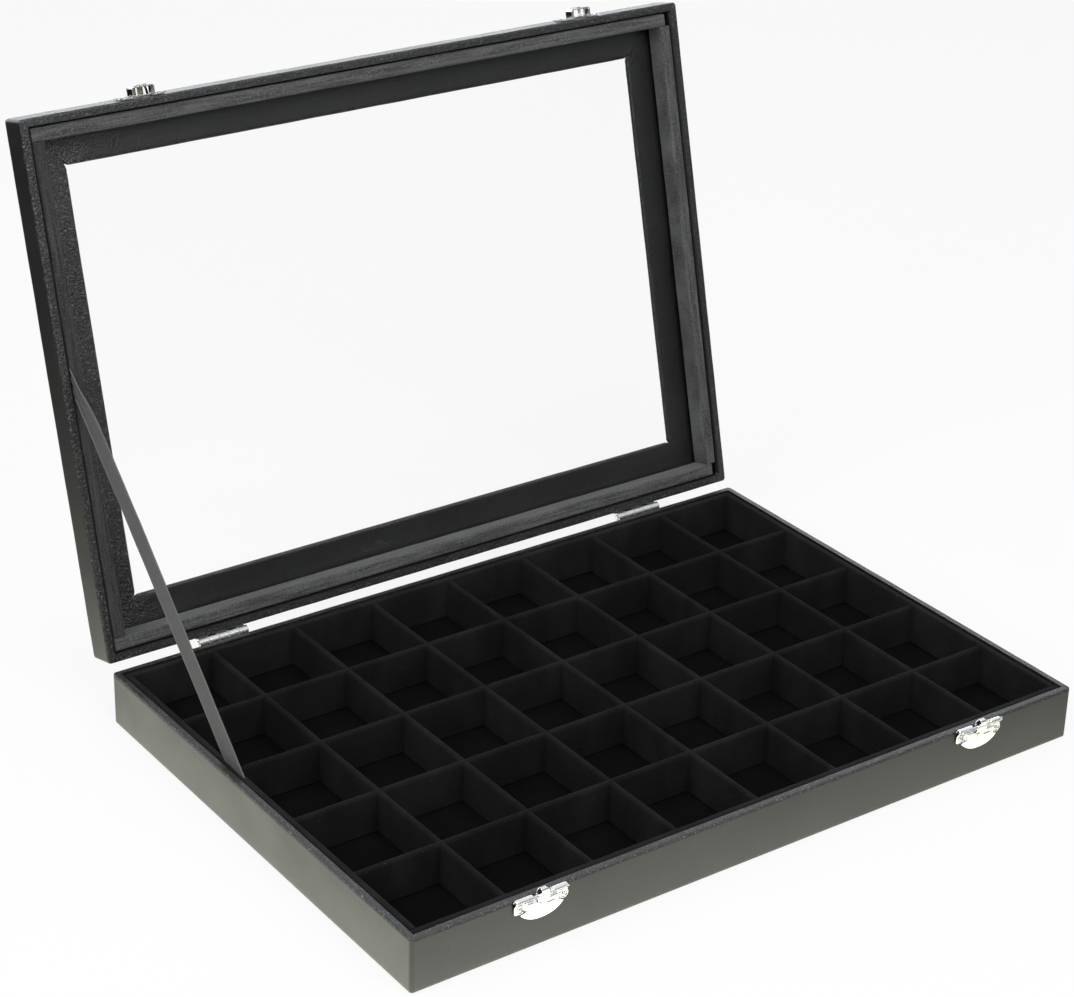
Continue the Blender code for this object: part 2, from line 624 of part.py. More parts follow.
def keeper(name, centre):
    """The lid's keeper: a nailed plate with a bridge pressed out of it, which the lever's nose enters from below."""
    foot = LID_RIM + KEEPER_ABOVE_RIM
    face = -(HALF_DEPTH + GAP)
    low = centre - KEEPER_WIDTH / 2
    high = centre + KEEPER_WIDTH / 2
    outline = fillet(rectangle((low, foot), (high, foot + KEEPER_HEIGHT)), [KEEPER_CORNER_RADIUS] * 4)
    plate = prism(name, outline, 1, face - KEEPER_SHEET, face)
    half = BRIDGE_WIDTH / 2
    wall = -(HALF_DEPTH + BRIDGE_STANDOUT)
    inner = half - KEEPER_SHEET
    section = [(-half, face - KEEPER_SHEET / 2), (-half, wall), (half, wall), (half, face - KEEPER_SHEET / 2),
               (inner, face - KEEPER_SHEET / 2), (inner, wall + KEEPER_SHEET), (-inner, wall + KEEPER_SHEET),
               (-inner, face - KEEPER_SHEET / 2)]
    small = BRIDGE_RADIUS - KEEPER_SHEET
    section = fillet(section, [0, BRIDGE_RADIUS, BRIDGE_RADIUS, 0, 0, small, small, 0])
    bridge = prism("bridge", [(centre + x, y) for x, y in section], 2, foot, foot + BRIDGE_HEIGHT)
    combine(plate, bridge, "UNION")
    window = rectangle((centre - KEEPER_WINDOW_WIDTH / 2, foot - OVERRUN),
                       (centre + KEEPER_WINDOW_WIDTH / 2, foot + KEEPER_WINDOW_HEIGHT))
    combine(plate, prism("window", window, 1, face - KEEPER_SHEET - GAP, face + GAP), "DIFFERENCE")
    nails = [(centre + side * (KEEPER_WIDTH + BRIDGE_WIDTH) / 4, foot + KEEPER_HEIGHT / 2) for side in (-1, 1)]
    return drill(plate, nails, KEEPER_NAIL_RADIUS, face - KEEPER_SHEET - GAP, face + GAP)


def catches(finishes, lid_holder):
    for side, centre in (("left", LEFT_CATCH_X), ("right", RIGHT_CATCH_X)):
        holder = pivot(f"{side}_lever_axis", (centre, CATCH_AXIS_Y, CATCH_AXIS_Z))
        finish(catch_plate(f"{side}_latch_plate", centre), finishes["chrome"])
        finish(catch_lever(f"{side}_latch_lever", centre), finishes["chrome"], holder)
        pin = rod(f"{side}_latch_pin", (CATCH_AXIS_Y, CATCH_AXIS_Z), CATCH_PIN_RADIUS, 0,
                  centre - CATCH_KNUCKLE_END, centre + CATCH_KNUCKLE_END, HOLE_SIDES)
        finish(pin, finishes["steel"])
        finish(catch_spring(f"{side}_latch_spring", centre), finishes["steel"])
        finish(keeper(f"{side}_latch_keeper", centre), finishes["chrome"], lid_holder)


def opened(y, z):
    """Where a point of the closed lid lies once the lid stands open."""
    angle = radians(LID_OPEN_DEG)
    dy = y - HINGE_AXIS_Y
    dz = z - HINGE_AXIS_Z
    return HINGE_AXIS_Y + dy * cos(angle) + dz * sin(angle), HINGE_AXIS_Z - dy * sin(angle) + dz * cos(angle)


def strap(finishes):
    """The ribbon that holds the open lid: out of the tray's left lining, into the joint of the lid's left rail and bead."""
    foot = Vector((STRAP_FOOT_INSET - HALF_WIDTH, STRAP_FOOT_Y, LINER_TOP + GAP))
    head = Vector((STRAP_HEAD_INSET - HALF_WIDTH, *opened(STRAP_HEAD_Y, LID_RIM + BEAD_BELOW_RIM - GAP)))
    run = (head - foot).normalized()
    rim_normal = Vector((0, sin(radians(LID_OPEN_DEG)), cos(radians(LID_OPEN_DEG))))
    flat = Vector((1, 0, 0))
    wide = run.cross(flat)
    bm = bmesh.new()
    rows = []
    for i in range(STRAP_STATIONS + 1):
        share = i / STRAP_STATIONS
        middle = foot + (head - foot) * share + flat * STRAP_BOW * sin(pi * share)
        row = []
        for across, through in ((-1, -1), (1, -1), (1, 1), (-1, 1)):
            point = middle + wide * across * STRAP_WIDTH / 2 + flat * through * STRAP_THICKNESS / 2
            if i == 0:
                point -= run * (point.z - foot.z) / run.z
            if i == STRAP_STATIONS:
                point -= run * (point - head).dot(rim_normal) / run.dot(rim_normal)
            row.append(bm.verts.new(point))
        rows.append(row)
    bm.faces.new(rows[0])
    bm.faces.new(rows[-1])
    for first, second in zip(rows, rows[1:]):
        for j in range(4):
            k = (j + 1) % 4
            bm.faces.new((first[j], first[k], second[k], second[j]))
    finish(solid("lid_strap", bm), finishes["ribbon"])


def build():
    clear_scene()
    finishes = make_finishes()
    base_walls(finishes)
    base_floor(finishes)
    base_liners(finishes)
    dividers(finishes)
    lid_holder = pivot("lid_axis", (0, HINGE_AXIS_Y, HINGE_AXIS_Z), -LID_OPEN_DEG)
    lid_rails(finishes, lid_holder)
    lid_inside(finishes, lid_holder)
    hinges(finishes, lid_holder)
    catches(finishes, lid_holder)
    strap(finishes)


build()
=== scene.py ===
# Looks of the glass-lidded jewellery case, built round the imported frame. All places are in metres.
import json
from math import atan2, cos, exp, pi, radians, sin, sqrt

import bmesh
import bpy
from mathutils import Matrix, Vector, noise

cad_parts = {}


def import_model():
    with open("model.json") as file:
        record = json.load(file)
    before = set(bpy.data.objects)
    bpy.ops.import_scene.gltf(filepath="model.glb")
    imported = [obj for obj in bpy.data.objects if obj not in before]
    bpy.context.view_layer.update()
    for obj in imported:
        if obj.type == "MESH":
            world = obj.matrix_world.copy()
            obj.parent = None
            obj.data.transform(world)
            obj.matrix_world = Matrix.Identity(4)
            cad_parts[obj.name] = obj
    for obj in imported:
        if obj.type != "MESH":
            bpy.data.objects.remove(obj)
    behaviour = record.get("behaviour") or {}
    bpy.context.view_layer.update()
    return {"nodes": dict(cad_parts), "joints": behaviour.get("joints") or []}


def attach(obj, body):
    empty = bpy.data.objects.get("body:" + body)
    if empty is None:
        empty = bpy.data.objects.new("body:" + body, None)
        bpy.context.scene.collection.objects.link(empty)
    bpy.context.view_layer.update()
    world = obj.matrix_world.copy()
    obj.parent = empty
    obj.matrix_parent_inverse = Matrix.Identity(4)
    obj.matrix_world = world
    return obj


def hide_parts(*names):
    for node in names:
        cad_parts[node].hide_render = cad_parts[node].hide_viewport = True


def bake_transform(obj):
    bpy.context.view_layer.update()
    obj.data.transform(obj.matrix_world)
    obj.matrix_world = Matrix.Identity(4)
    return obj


MM = 0.001

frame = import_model()

JOINTS = {joint["name"]: joint for joint in frame["joints"]}
HINGE = Vector(JOINTS["lid_hinge"]["pos_m"])
OPEN_ANGLE = radians(JOINTS["lid_hinge"]["range_deg"][1])
LID_TURN = Matrix.Translation(HINGE) @ Matrix.Rotation(-OPEN_ANGLE, 4, "X") @ Matrix.Translation(-HINGE)

# Sizes of the frame that the pieces are fitted to, with the lid thought closed
HALF_WIDTH = 175 * MM
HALF_DEPTH = 121 * MM
BASE_HEIGHT = 25 * MM
BASE_WALL = 3.7 * MM
LID_WALL = 4.3 * MM
LID_RIM = 25.3 * MM
LID_TOP = 40.3 * MM
LID_FACE = 2.3 * MM
WINDOW_BORDER = 24 * MM
CORNER_RADIUS = 1.6 * MM
INNER_RADIUS = 0.35 * MM
WRAP_EDGE = 0.7 * MM
FLOOR_TOP = 5 * MM
DIVIDER_FOOT = 5.3 * MM
DIVIDER_TOP = 24 * MM
LINING_TOP = 24.6 * MM
INNER_HALF_WIDTH = 168.2 * MM
INNER_HALF_DEPTH = 114.2 * MM
DIVIDER_THICKNESS = 3 * MM
COLUMNS = 8
ROWS = 5


# Meshes

def new_object(name, verts, faces, material, smooth_deg=50, values=None):
    """A mesh object from points and faces, with float values per point for its material to read."""
    mesh = bpy.data.meshes.new(name)
    mesh.from_pydata([tuple(v) for v in verts], [], faces)
    mesh.validate()
    for key, numbers in (values or {}).items():
        attribute = mesh.attributes.new(key, "FLOAT", "POINT")
        attribute.data.foreach_set("value", numbers)
    mesh.shade_smooth()
    mesh.set_sharp_from_angle(angle=radians(smooth_deg))
    mesh.materials.append(material)
    obj = bpy.data.objects.new(name, mesh)
    bpy.context.collection.objects.link(obj)
    return obj


def face_outwards(obj):
    bm = bmesh.new()
    bm.from_mesh(obj.data)
    bmesh.ops.recalc_face_normals(bm, faces=bm.faces)
    bm.to_mesh(obj.data)
    bm.free()


def dress(obj, body, nodes=(), closed_lid=False, tilt=None):
    """Turn a piece drawn on the closed lid to the open pose, hide the frame's parts it stands for, hang it on
    its body.
    """
    face_outwards(obj)
    if tilt:
        obj.data.transform(tilt)
    if closed_lid:
        obj.data.transform(LID_TURN)
    if nodes:
        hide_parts(*nodes)
    if body:
        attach(obj, body)
    return obj


def wobble(obj, amount, size, seed, keep=None):
    """Push every point along its normal by smooth noise: the small unevenness of a wrap or a pile."""
    shift = Vector((seed * 3.1, seed * 1.7, seed * 2.3))
    moves = []
    for vertex in obj.data.vertices:
        strength = noise.noise(vertex.co / size + shift)
        hold = keep(vertex.co) if keep else 1.0
        moves.append(vertex.normal * strength * amount * hold)
    for vertex, move in zip(obj.data.vertices, moves):
        vertex.co += move


def tube_faces(count, loops, closed=False):
    """Faces between neighbouring loops of count points each, with capped ends unless the tube closes."""
    faces = []
    for i in range(loops if closed else loops - 1):
        j = (i + 1) % loops
        for k in range(count):
            n = (k + 1) % count
            faces.append((i * count + k, i * count + n, j * count + n, j * count + k))
    if not closed:
        faces.append(tuple(range(count)))
        faces.append(tuple(range((loops - 1) * count, loops * count)))
    return faces


def arc(centre, radius, start_deg, end_deg, steps):
    angles = [radians(start_deg + (end_deg - start_deg) * i / steps) for i in range(steps + 1)]
    return [(centre[0] + radius * cos(a), centre[1] + radius * sin(a)) for a in angles]


CORNER_STEPS = 6
SIDE_STEPS = 60
NEAR = [d * MM for d in (0.35, 0.7, 1.1, 1.6, 2.4, 3.6, 5.5, 8, 12, 17)]


def loop_points(inset):
    """One loop round the case: round corners, close points beside them and even points between."""
    radius = max(CORNER_RADIUS - inset, INNER_RADIUS)
    corners = []
    for k, (sx, sy) in enumerate(((1, 1), (-1, 1), (-1, -1), (1, -1))):
        centre = (sx * (HALF_WIDTH - inset - radius), sy * (HALF_DEPTH - inset - radius))
        corners.append([Vector(p) for p in arc(centre, radius, 90 * k, 90 * (k + 1), CORNER_STEPS)])
    loop = []
    for k in range(4):
        loop += corners[k]
        start = corners[k][-1]
        end = corners[(k + 1) % 4][0]
        run = (end - start).normalized()
        length = (end - start).length
        reach = NEAR[-1]
        stops = list(NEAR)
        stops += [reach + (length - 2 * reach) * i / SIDE_STEPS for i in range(1, SIDE_STEPS)]
        stops += [length - d for d in reversed(NEAR)]
        loop += [start + run * d for d in stops]
    return loop


def ring(name, profile, material, warp, add_specks=None):
    """Sweep a profile of (inset, height, wear, painted shade) round the case. Warp moves a point; the speck
    function adds to its wear.
    """
    verts, wear, painted_shade = [], [], []
    for inset, height, worn, shade_level in profile:
        for x, y in loop_points(inset):
            point = Vector((x, y, height))
            wear.append(worn + (add_specks(point, inset) if add_specks else 0.0))
            verts.append(warp(point, inset))
            painted_shade.append(shade_level)
    faces = tube_faces(len(verts) // len(profile), len(profile), closed=True)
    return new_object(name, verts, faces, material, values={"wear": wear, "painted_shade": painted_shade})


def bar(name, axis, low, high, section, material, step=5 * MM, shape=None):
    """Sweep a closed section of (across, height) points along X (0) or Y (1), both ends capped."""
    stations = max(2, round((high - low) / step)) + 1
    verts = []
    for i in range(stations):
        along = low + (high - low) * i / (stations - 1)
        for across, height in section:
            if shape:
                across, height = shape(along, across, height)
            verts.append((along, across, height) if axis == 0 else (across, along, height))
    obj = new_object(name, verts, tube_faces(len(section), stations), material)
    layer = obj.data.uv_layers.new(name="run")
    for corner in obj.data.loops:
        co = obj.data.vertices[corner.vertex_index].co
        layer.data[corner.index].uv = (co[axis], co[1 - axis] + co.z)
    return obj


def round_section(near, far, low, high, radius_low=0.0, radius_high=0.0, steps=4, mids=3):
    """A rectangle of (across, height) with rounded lower or upper corners and points along each side."""
    points = []

    def run(a, b):
        for i in range(1, mids + 1):
            t = i / (mids + 1)
            points.append((a[0] + (b[0] - a[0]) * t, a[1] + (b[1] - a[1]) * t))

    def turn(centre, radius, start):
        if radius:
            points.extend(arc(centre, radius, start, start + 90, steps))
        else:
            points.append(centre)

    turn((far - radius_low, low + radius_low), radius_low, -90)
    run((far, low + radius_low), (far, high - radius_high))
    turn((far - radius_high, high - radius_high), radius_high, 0)
    run((far - radius_high, high), (near + radius_high, high))
    turn((near + radius_high, high - radius_high), radius_high, 90)
    run((near, high - radius_high), (near, low + radius_low))
    turn((near + radius_low, low + radius_low), radius_low, 180)
    run((near + radius_low, low), (far - radius_low, low))
    return points


# Materials

class Nodes:
    """A short way to write the node tree of a material or of the world."""

    def __init__(self, name, world=None):
        self.owner = world or bpy.data.materials.new(name)
        self.owner.use_nodes = True
        self.tree = self.owner.node_tree
        self.shader = self.tree.nodes.get("Principled BSDF")
        self.output = self.tree.nodes.get("Material Output")

    def put(self, socket, value):
        """Feed an input socket from an output, or give it a plain value."""
        if isinstance(value, bpy.types.NodeSocket):
            self.tree.links.new(value, socket)
        else:
            socket.default_value = value

    def add(self, kind, inputs=None, **settings):
        node = self.tree.nodes.new(kind)
        for key, value in settings.items():
            setattr(node, key, value)
        for key, value in (inputs or {}).items():
            self.put(node.inputs[key], value)
        return node

    def link(self, output, target):
        self.tree.links.new(output, target)

    def place(self):
        return self.add("ShaderNodeTexCoord").outputs["Object"]

    def stretched(self, vector, scale):
        return self.add("ShaderNodeMapping", {"Vector": vector, "Scale": scale}).outputs[0]

    def noise(self, vector, scale, detail=2.0, rough=0.5):
        inputs = {"Vector": vector, "Scale": scale, "Detail": detail, "Roughness": rough}
        return self.add("ShaderNodeTexNoise", inputs).outputs[0]

    def cells(self, vector, scale, feature="SMOOTH_F1"):
        node = self.add("ShaderNodeTexVoronoi", {"Vector": vector, "Scale": scale}, feature=feature)
        return node.outputs["Distance"]

    def span(self, value, low, high, to_low=0.0, to_high=1.0):
        inputs = {"Value": value, "From Min": low, "From Max": high, "To Min": to_low, "To Max": to_high}
        return self.add("ShaderNodeMapRange", inputs).outputs[0]

    def math(self, operation, a, b=0.0):
        return self.add("ShaderNodeMath", {0: a, 1: b}, operation=operation).outputs[0]

    def mix(self, factor, a, b):
        return self.add("ShaderNodeMix", {0: factor, 6: a, 7: b}, data_type="RGBA").outputs[2]

    def value(self, name):
        return self.add("ShaderNodeAttribute", attribute_name=name).outputs["Fac"]

    def bump(self, height, strength, distance, normal=None):
        inputs = {"Height": height, "Strength": strength, "Distance": distance}
        if normal is not None:
            inputs["Normal"] = normal
        return self.add("ShaderNodeBump", inputs).outputs[0]

    def set(self, **values):
        for key, value in values.items():
            self.put(self.shader.inputs[key.replace("_", " ")], value)


def grey(level, warmth=0.0):
    return (level * (1 + warmth), level, level * (1 - warmth), 1)


def leatherette(name, base, grain, cell, rough):
    """Pebbled leather cloth: small cells with dark valleys, slight patches, pale specks where rubbed, and
    painted shade in creases and recesses.
    """
    n = Nodes(name)
    place = n.place()
    stir = n.add("ShaderNodeTexNoise", {"Vector": place, "Scale": 500.0}).outputs[1]
    inputs = {0: stir, 1: (0.0008, 0.0008, 0.0008), 2: place}
    moved = n.add("ShaderNodeVectorMath", inputs, operation="MULTIPLY_ADD").outputs[0]
    pebbles = n.cells(moved, 1 / cell)
    specks = n.noise(place, 0.9 / cell, 3, 0.7)
    fine = n.noise(place, 2600, 3, 0.65)
    patches = n.noise(place, 26, 3, 0.6)
    colour = n.mix(n.span(pebbles, 0.15, 0.75), grey(base * 1.3, -0.01), grey(base * 0.45, -0.01))
    colour = n.mix(n.span(patches, 0.35, 0.7, 0, 0.3), colour, grey(base * 1.5, -0.02))
    rubbed = n.math("MULTIPLY", n.span(specks, 0.53, 0.62), n.span(pebbles, 0.6, 0.25))
    colour = n.mix(n.math("MULTIPLY", n.value("wear"), rubbed), colour, grey(0.3, 0.01))
    # Painted shade: the per-point shade value darkens the cloth in the pressed line under the rim, at the
    # foot and on the inner walls.
    colour = n.mix(n.value("painted_shade"), colour, grey(base * 0.15))
    uneven = n.math("ADD", patches, n.math("MULTIPLY", fine, 0.5))
    rough_value = n.span(uneven, 0.5, 1.0, rough - 0.05, rough + 0.07)
    height = n.math("ADD", n.math("MULTIPLY", pebbles, -1.0), n.math("MULTIPLY", fine, 0.35))
    soft = n.bump(patches, 0.25, 0.0006)
    relief = n.math("MULTIPLY", n.math("ADD", n.math("MULTIPLY", n.value("wear"), 2.6), 0.3), grain)
    n.set(Base_Color=colour, Roughness=rough_value, Normal=n.bump(height, relief, 0.00022, soft))
    n.set(Specular_IOR_Level=0.72)
    return n.owner


def velvet(name, base, sheen):
    """Short pile: nearly black where it is looked into, faintly grey where it leans, with a little lint."""
    n = Nodes(name)
    place = n.place()
    pile = n.noise(place, 2400, 2, 0.7)
    nap = n.noise(n.stretched(place, (1, 1, 0.6)), 42, 3, 0.55)
    colour = n.mix(n.span(pile, 0.35, 0.7), grey(base * 0.5), grey(base * 1.5))
    colour = n.mix(n.span(nap, 0.42, 0.68, 0, 0.55), colour, grey(base * 2.2, 0.01))
    lint = n.cells(place, 210, "F1")
    colour = n.mix(n.span(lint, 0.05, 0.03, 0, 0.5), colour, grey(base * 16))
    n.set(Base_Color=colour, Roughness=0.95, Normal=n.bump(pile, 0.7, 0.0003, n.bump(nap, 0.3, 0.0008)))
    n.set(Specular_IOR_Level=0.08, Sheen_Weight=sheen, Sheen_Roughness=0.4)
    return n.owner


def brushed_cloth(name, base, lengthwise):
    """Smooth cloth pulled tight round a strip: fine threads, faint streaks along the strip."""
    n = Nodes(name)
    place = n.place()
    streak_scale = (0.05, 1, 1) if lengthwise == 0 else (1, 0.05, 0.05)
    streaks = n.noise(n.stretched(place, streak_scale), 900, 3, 0.6)
    threads = n.noise(place, 3000, 2, 0.6)
    patches = n.noise(place, 34, 3, 0.5)
    colour = n.mix(n.span(streaks, 0.38, 0.62), grey(base * 0.5, -0.01), grey(base * 1.4, -0.02))
    colour = n.mix(n.span(n.noise(place, 1300, 2, 0.6), 0.52, 0.64, 0, 0.6), colour, grey(base * 2.4, -0.01))
    colour = n.mix(n.span(patches, 0.4, 0.7, 0, 0.4), colour, grey(base * 0.68, 0.01))
    height = n.math("ADD", n.math("MULTIPLY", streaks, 0.5), threads)
    n.set(Base_Color=colour, Roughness=0.8, Normal=n.bump(height, 0.35, 0.0002))
    n.set(Specular_IOR_Level=0.3, Sheen_Weight=0.12, Sheen_Roughness=0.45)
    return n.owner


def ribbon_cloth(name, base):
    """Ribbed ribbon: fine cross ribs along its length, tighter woven edges, and pale loose threads at the
    edges, partly a painted highlight.
    """
    n = Nodes(name)
    uv = n.add("ShaderNodeUVMap", uv_map="run").outputs[0]
    ribs = n.add("ShaderNodeTexWave", {"Vector": uv, "Scale": 330.0, "Distortion": 1.6, "Detail": 2.0,
                                       "Detail Scale": 2.0}, bands_direction="Y").outputs[1]
    threads = n.noise(n.stretched(uv, (1, 0.25, 1)), 2600, 2, 0.6)
    patches = n.noise(uv, 60, 2, 0.5)
    colour = n.mix(ribs, grey(base * 0.75), grey(base * 1.2))
    colour = n.mix(n.span(threads, 0.35, 0.7, 0, 0.6), colour, grey(base * 1.5))
    colour = n.mix(n.span(patches, 0.4, 0.7, 0, 0.3), colour, grey(base * 0.7))
    # Pale threads along the edges: partly fray, partly a painted highlight near the head.
    loose = n.math("MULTIPLY", n.value("fray_and_glint"), n.span(n.noise(uv, 1900, 2, 0.7), 0.38, 0.6))
    colour = n.mix(loose, colour, grey(0.5))
    height = n.math("ADD", ribs, n.math("MULTIPLY", threads, 0.5))
    n.set(Base_Color=colour, Roughness=0.72, Normal=n.bump(height, 0.6, 0.0002))
    n.set(Specular_IOR_Level=0.4, Sheen_Weight=0.15)
    return n.owner


def metal(name, base, rough, scratch, warmth=0.005):
    """Plated sheet: bright, with faint drawn lines, small dents, duller patches, and near-black painted shade
    where the shade value is set.
    """
    n = Nodes(name)
    place = n.place()
    lines = n.noise(n.stretched(place, (0.2, 1, 1)), 5200, 2, 0.6)
    dents = n.noise(place, 420, 2, 0.5)
    patches = n.noise(place, 160, 3, 0.6)
    colour = n.mix(n.span(patches, 0.35, 0.75, 0, 0.5), grey(base, warmth), grey(base * 0.86, warmth + 0.03))
    # Painted shade: near black where the per-point shade value is high, at nail feet and dimples, ring feet
    # and the lever's pressed lines.
    colour = n.mix(n.value("painted_shade"), colour, grey(0.01, 0.05))
    n.set(Base_Color=colour, Metallic=1.0, Roughness=n.span(lines, 0.3, 0.7, rough, rough + scratch),
          Normal=n.bump(lines, 0.12, 0.00005, n.bump(dents, 0.22, 0.0002)))
    return n.owner


def pane_glass(name):
    """Clear float glass: see-through, with the room's gleam and a breath of dust."""
    n = Nodes(name)
    place = n.place()
    smear = n.noise(n.stretched(place, (1, 0.3, 0.3)), 18, 3, 0.6)
    clear = n.add("ShaderNodeBsdfTransparent", {"Color": (1, 1, 1, 1)})
    rough = n.span(smear, 0.4, 0.8, 0.01, 0.035)
    gleam = n.add("ShaderNodeBsdfGlossy", {"Color": (1, 1, 1, 1), "Roughness": rough})
    edge = n.add("ShaderNodeFresnel", {"IOR": 1.2})
    both = n.add("ShaderNodeMixShader", {0: edge.outputs[0], 1: clear.outputs[0], 2: gleam.outputs[0]})
    n.link(both.outputs[0], n.output.inputs["Surface"])
    return n.owner


def board_paper(name, base):
    """Dull paper with a soft fibre: the paper under the case, and the near-black sheets of painted shade."""
    n = Nodes(name)
    place = n.place()
    fibre = n.noise(n.stretched(place, (1, 0.3, 1)), 1500, 4, 0.6)
    colour = n.mix(n.span(fibre, 0.35, 0.7), grey(base * 0.8), grey(base * 1.25))
    n.set(Base_Color=colour, Roughness=0.85, Normal=n.bump(fibre, 0.2, 0.0002))
    n.set(Specular_IOR_Level=0.3)
    return n.owner


WRAP = leatherette("tray_leatherette", 0.009, 0.4, 0.8 * MM, 0.42)
LID_WRAP = leatherette("lid_leatherette", 0.0055, 0.9, 0.85 * MM, 0.42)
VELVET = velvet("velvet_cells", 0.0075, 0.014)
# Painted shade: the floor pad is a darker copy of the cell velvet, for the shade deep in the cells.
FLOOR_VELVET_SHADED = velvet("velvet_floor_shaded", 0.0022, 0.004)
# Painted light: the linings are a lighter copy of the cell velvet with more sheen, for the light their tops
# catch.
LINER_VELVET_LIT = velvet("velvet_liners_lit", 0.009, 0.04)
# One bead cloth in three tones: the left one is painted shade, less than half as bright, for its face turned
# away from the left lamp; the right one is a little darker than the long ones.
BEAD_LONG = brushed_cloth("bead_cloth_long", 0.062, 0)
BEAD_LEFT_SHADED = brushed_cloth("bead_cloth_left_shaded", 0.027, 1)
BEAD_RIGHT = brushed_cloth("bead_cloth_right", 0.056, 1)
RIBBON = ribbon_cloth("ribbon_cloth", 0.045)
CHROME = metal("plated_sheet", 1.0, 0.12, 0.08)
STEEL = metal("drawn_steel", 0.8, 0.18, 0.12)
TARNISHED = metal("tarnished_sheet", 0.3, 0.3, 0.2, 0.16)
# Painted shade: near-black sheets put inside the curls, the nose and along the keeper's edges, where only
# shade is.
SHADE_SHEET = board_paper("painted_shade_sheet", 0.004)
GLASS = pane_glass("pane")
PAPER = board_paper("bottom_paper", 0.02)


# Tray

def tray_corner_crease(point, inset):
    """The wrap is folded at each corner: a shallow mitre crease across the rim."""
    reach = abs(abs(point.x) - HALF_WIDTH + inset) + abs(abs(point.y) - HALF_DEPTH + inset)
    on_rim = max(0.0, 1 - abs(point.z - BASE_HEIGHT) / (1.2 * MM))
    across = abs((HALF_WIDTH - abs(point.x)) - (HALF_DEPTH - abs(point.y)))
    point.z -= 0.16 * MM * on_rim * exp(-(across / (0.5 * MM)) ** 2) * (1 if reach < 3 * MM else 0)
    return point


def tray_wrap():
    """The tray's four walls in one leather cloth: soft rim, pressed line under it with painted shade in it,
    turned in at the foot.
    """
    top = BASE_HEIGHT
    edge = WRAP_EDGE
    line = top - 0.95 * MM
    # The fourth number of each profile point is painted shade: a little at the foot, where the case meets the
    # floor.
    profile = [(0.5 * MM, 0, 0, 0.4), (0.12 * MM, 0.2 * MM, 0.5, 0.2), (0, 0.6 * MM, 0.3, 0)]
    profile += [(0, h * MM, 0, 0) for h in (2, 5, 9, 13, 17, 21, 23)]
    # Painted shade: a dark line down in the pressed groove under the rim.
    profile += [(0, line - 0.3 * MM, 0, 0), (0.02 * MM, line - 0.16 * MM, 0.8, 0.1), (0.2 * MM, line, 0, 1),
                (0.03 * MM, line + 0.15 * MM, 0.7, 0.1)]
    profile += [(edge - x, z, 0.5, 0) for x, z in arc((0, top - edge), edge, 20, 90, 4)]
    for share in (0.3, 0.5, 0.7):
        profile.append((BASE_WALL * share, top, 0.45, 0))
    profile += [(BASE_WALL - edge - x, z, 0.2, 0) for x, z in arc((0, top - edge), -edge, -90, -180, 4)]
    # Painted shade on the inner wall behind the linings.
    profile += [(BASE_WALL, h * MM, 0, 0.5) for h in (20, 10, 1)]
    profile += [(BASE_WALL - 0.4 * MM, 0, 0, 0.5)]
    obj = ring("tray_wrap", profile, WRAP, warp=tray_corner_crease)
    wobble(obj, 0.09 * MM, 16 * MM, 1, keep=lambda co: min(1.0, co.z / (3 * MM)))
    nodes = [f"base_{side}_wall" for side in ("front", "back", "left", "right")]
    dress(obj, "tray", nodes)


def soft_top(seed, top=DIVIDER_TOP):
    """How a velvet strip wanders along its run: its crest rises and leans a little."""
    sag, lean = 0.12 * MM, 0.1 * MM

    def shape(along, across, height):
        share = (height - DIVIDER_FOOT) / (top - DIVIDER_FOOT)
        rise = noise.noise(Vector((along / (23 * MM), seed, 0.3)))
        side = noise.noise(Vector((along / (31 * MM), seed, 7.1)))
        return across + lean * side * share, height - sag * (0.5 + rise) * share
    return shape


def tray_linings():
    outer_x = HALF_WIDTH - BASE_WALL - 0.12 * MM
    outer_y = HALF_DEPTH - BASE_WALL - 0.12 * MM
    top = LINING_TOP
    for i, (side, sign) in enumerate((("front", -1), ("back", 1))):
        near, far = sorted((sign * outer_y, sign * INNER_HALF_DEPTH))
        section = round_section(near, far, DIVIDER_FOOT, top, radius_high=0.7 * MM)
        shape = soft_top(3.3 + i, top=top)
        strip = bar(f"{side}_lining", 0, -outer_x, outer_x, section, LINER_VELVET_LIT, shape=shape)
        dress(strip, "tray", [f"base_{side}_liner"])
    reach = INNER_HALF_DEPTH - 0.1 * MM
    for i, (side, sign) in enumerate((("left", -1), ("right", 1))):
        near, far = sorted((sign * outer_x, sign * INNER_HALF_WIDTH))
        section = round_section(near, far, DIVIDER_FOOT, top, radius_high=0.7 * MM)
        shape = soft_top(5.9 + i, top=top)
        strip = bar(f"{side}_lining", 1, -reach, reach, section, LINER_VELVET_LIT, shape=shape)
        dress(strip, "tray", [f"base_{side}_liner"])


def divider_places(half_length, cells):
    pitch = (2 * half_length + DIVIDER_THICKNESS) / cells
    return [-half_length - DIVIDER_THICKNESS / 2 + pitch * (i + 1) for i in range(cells - 1)]


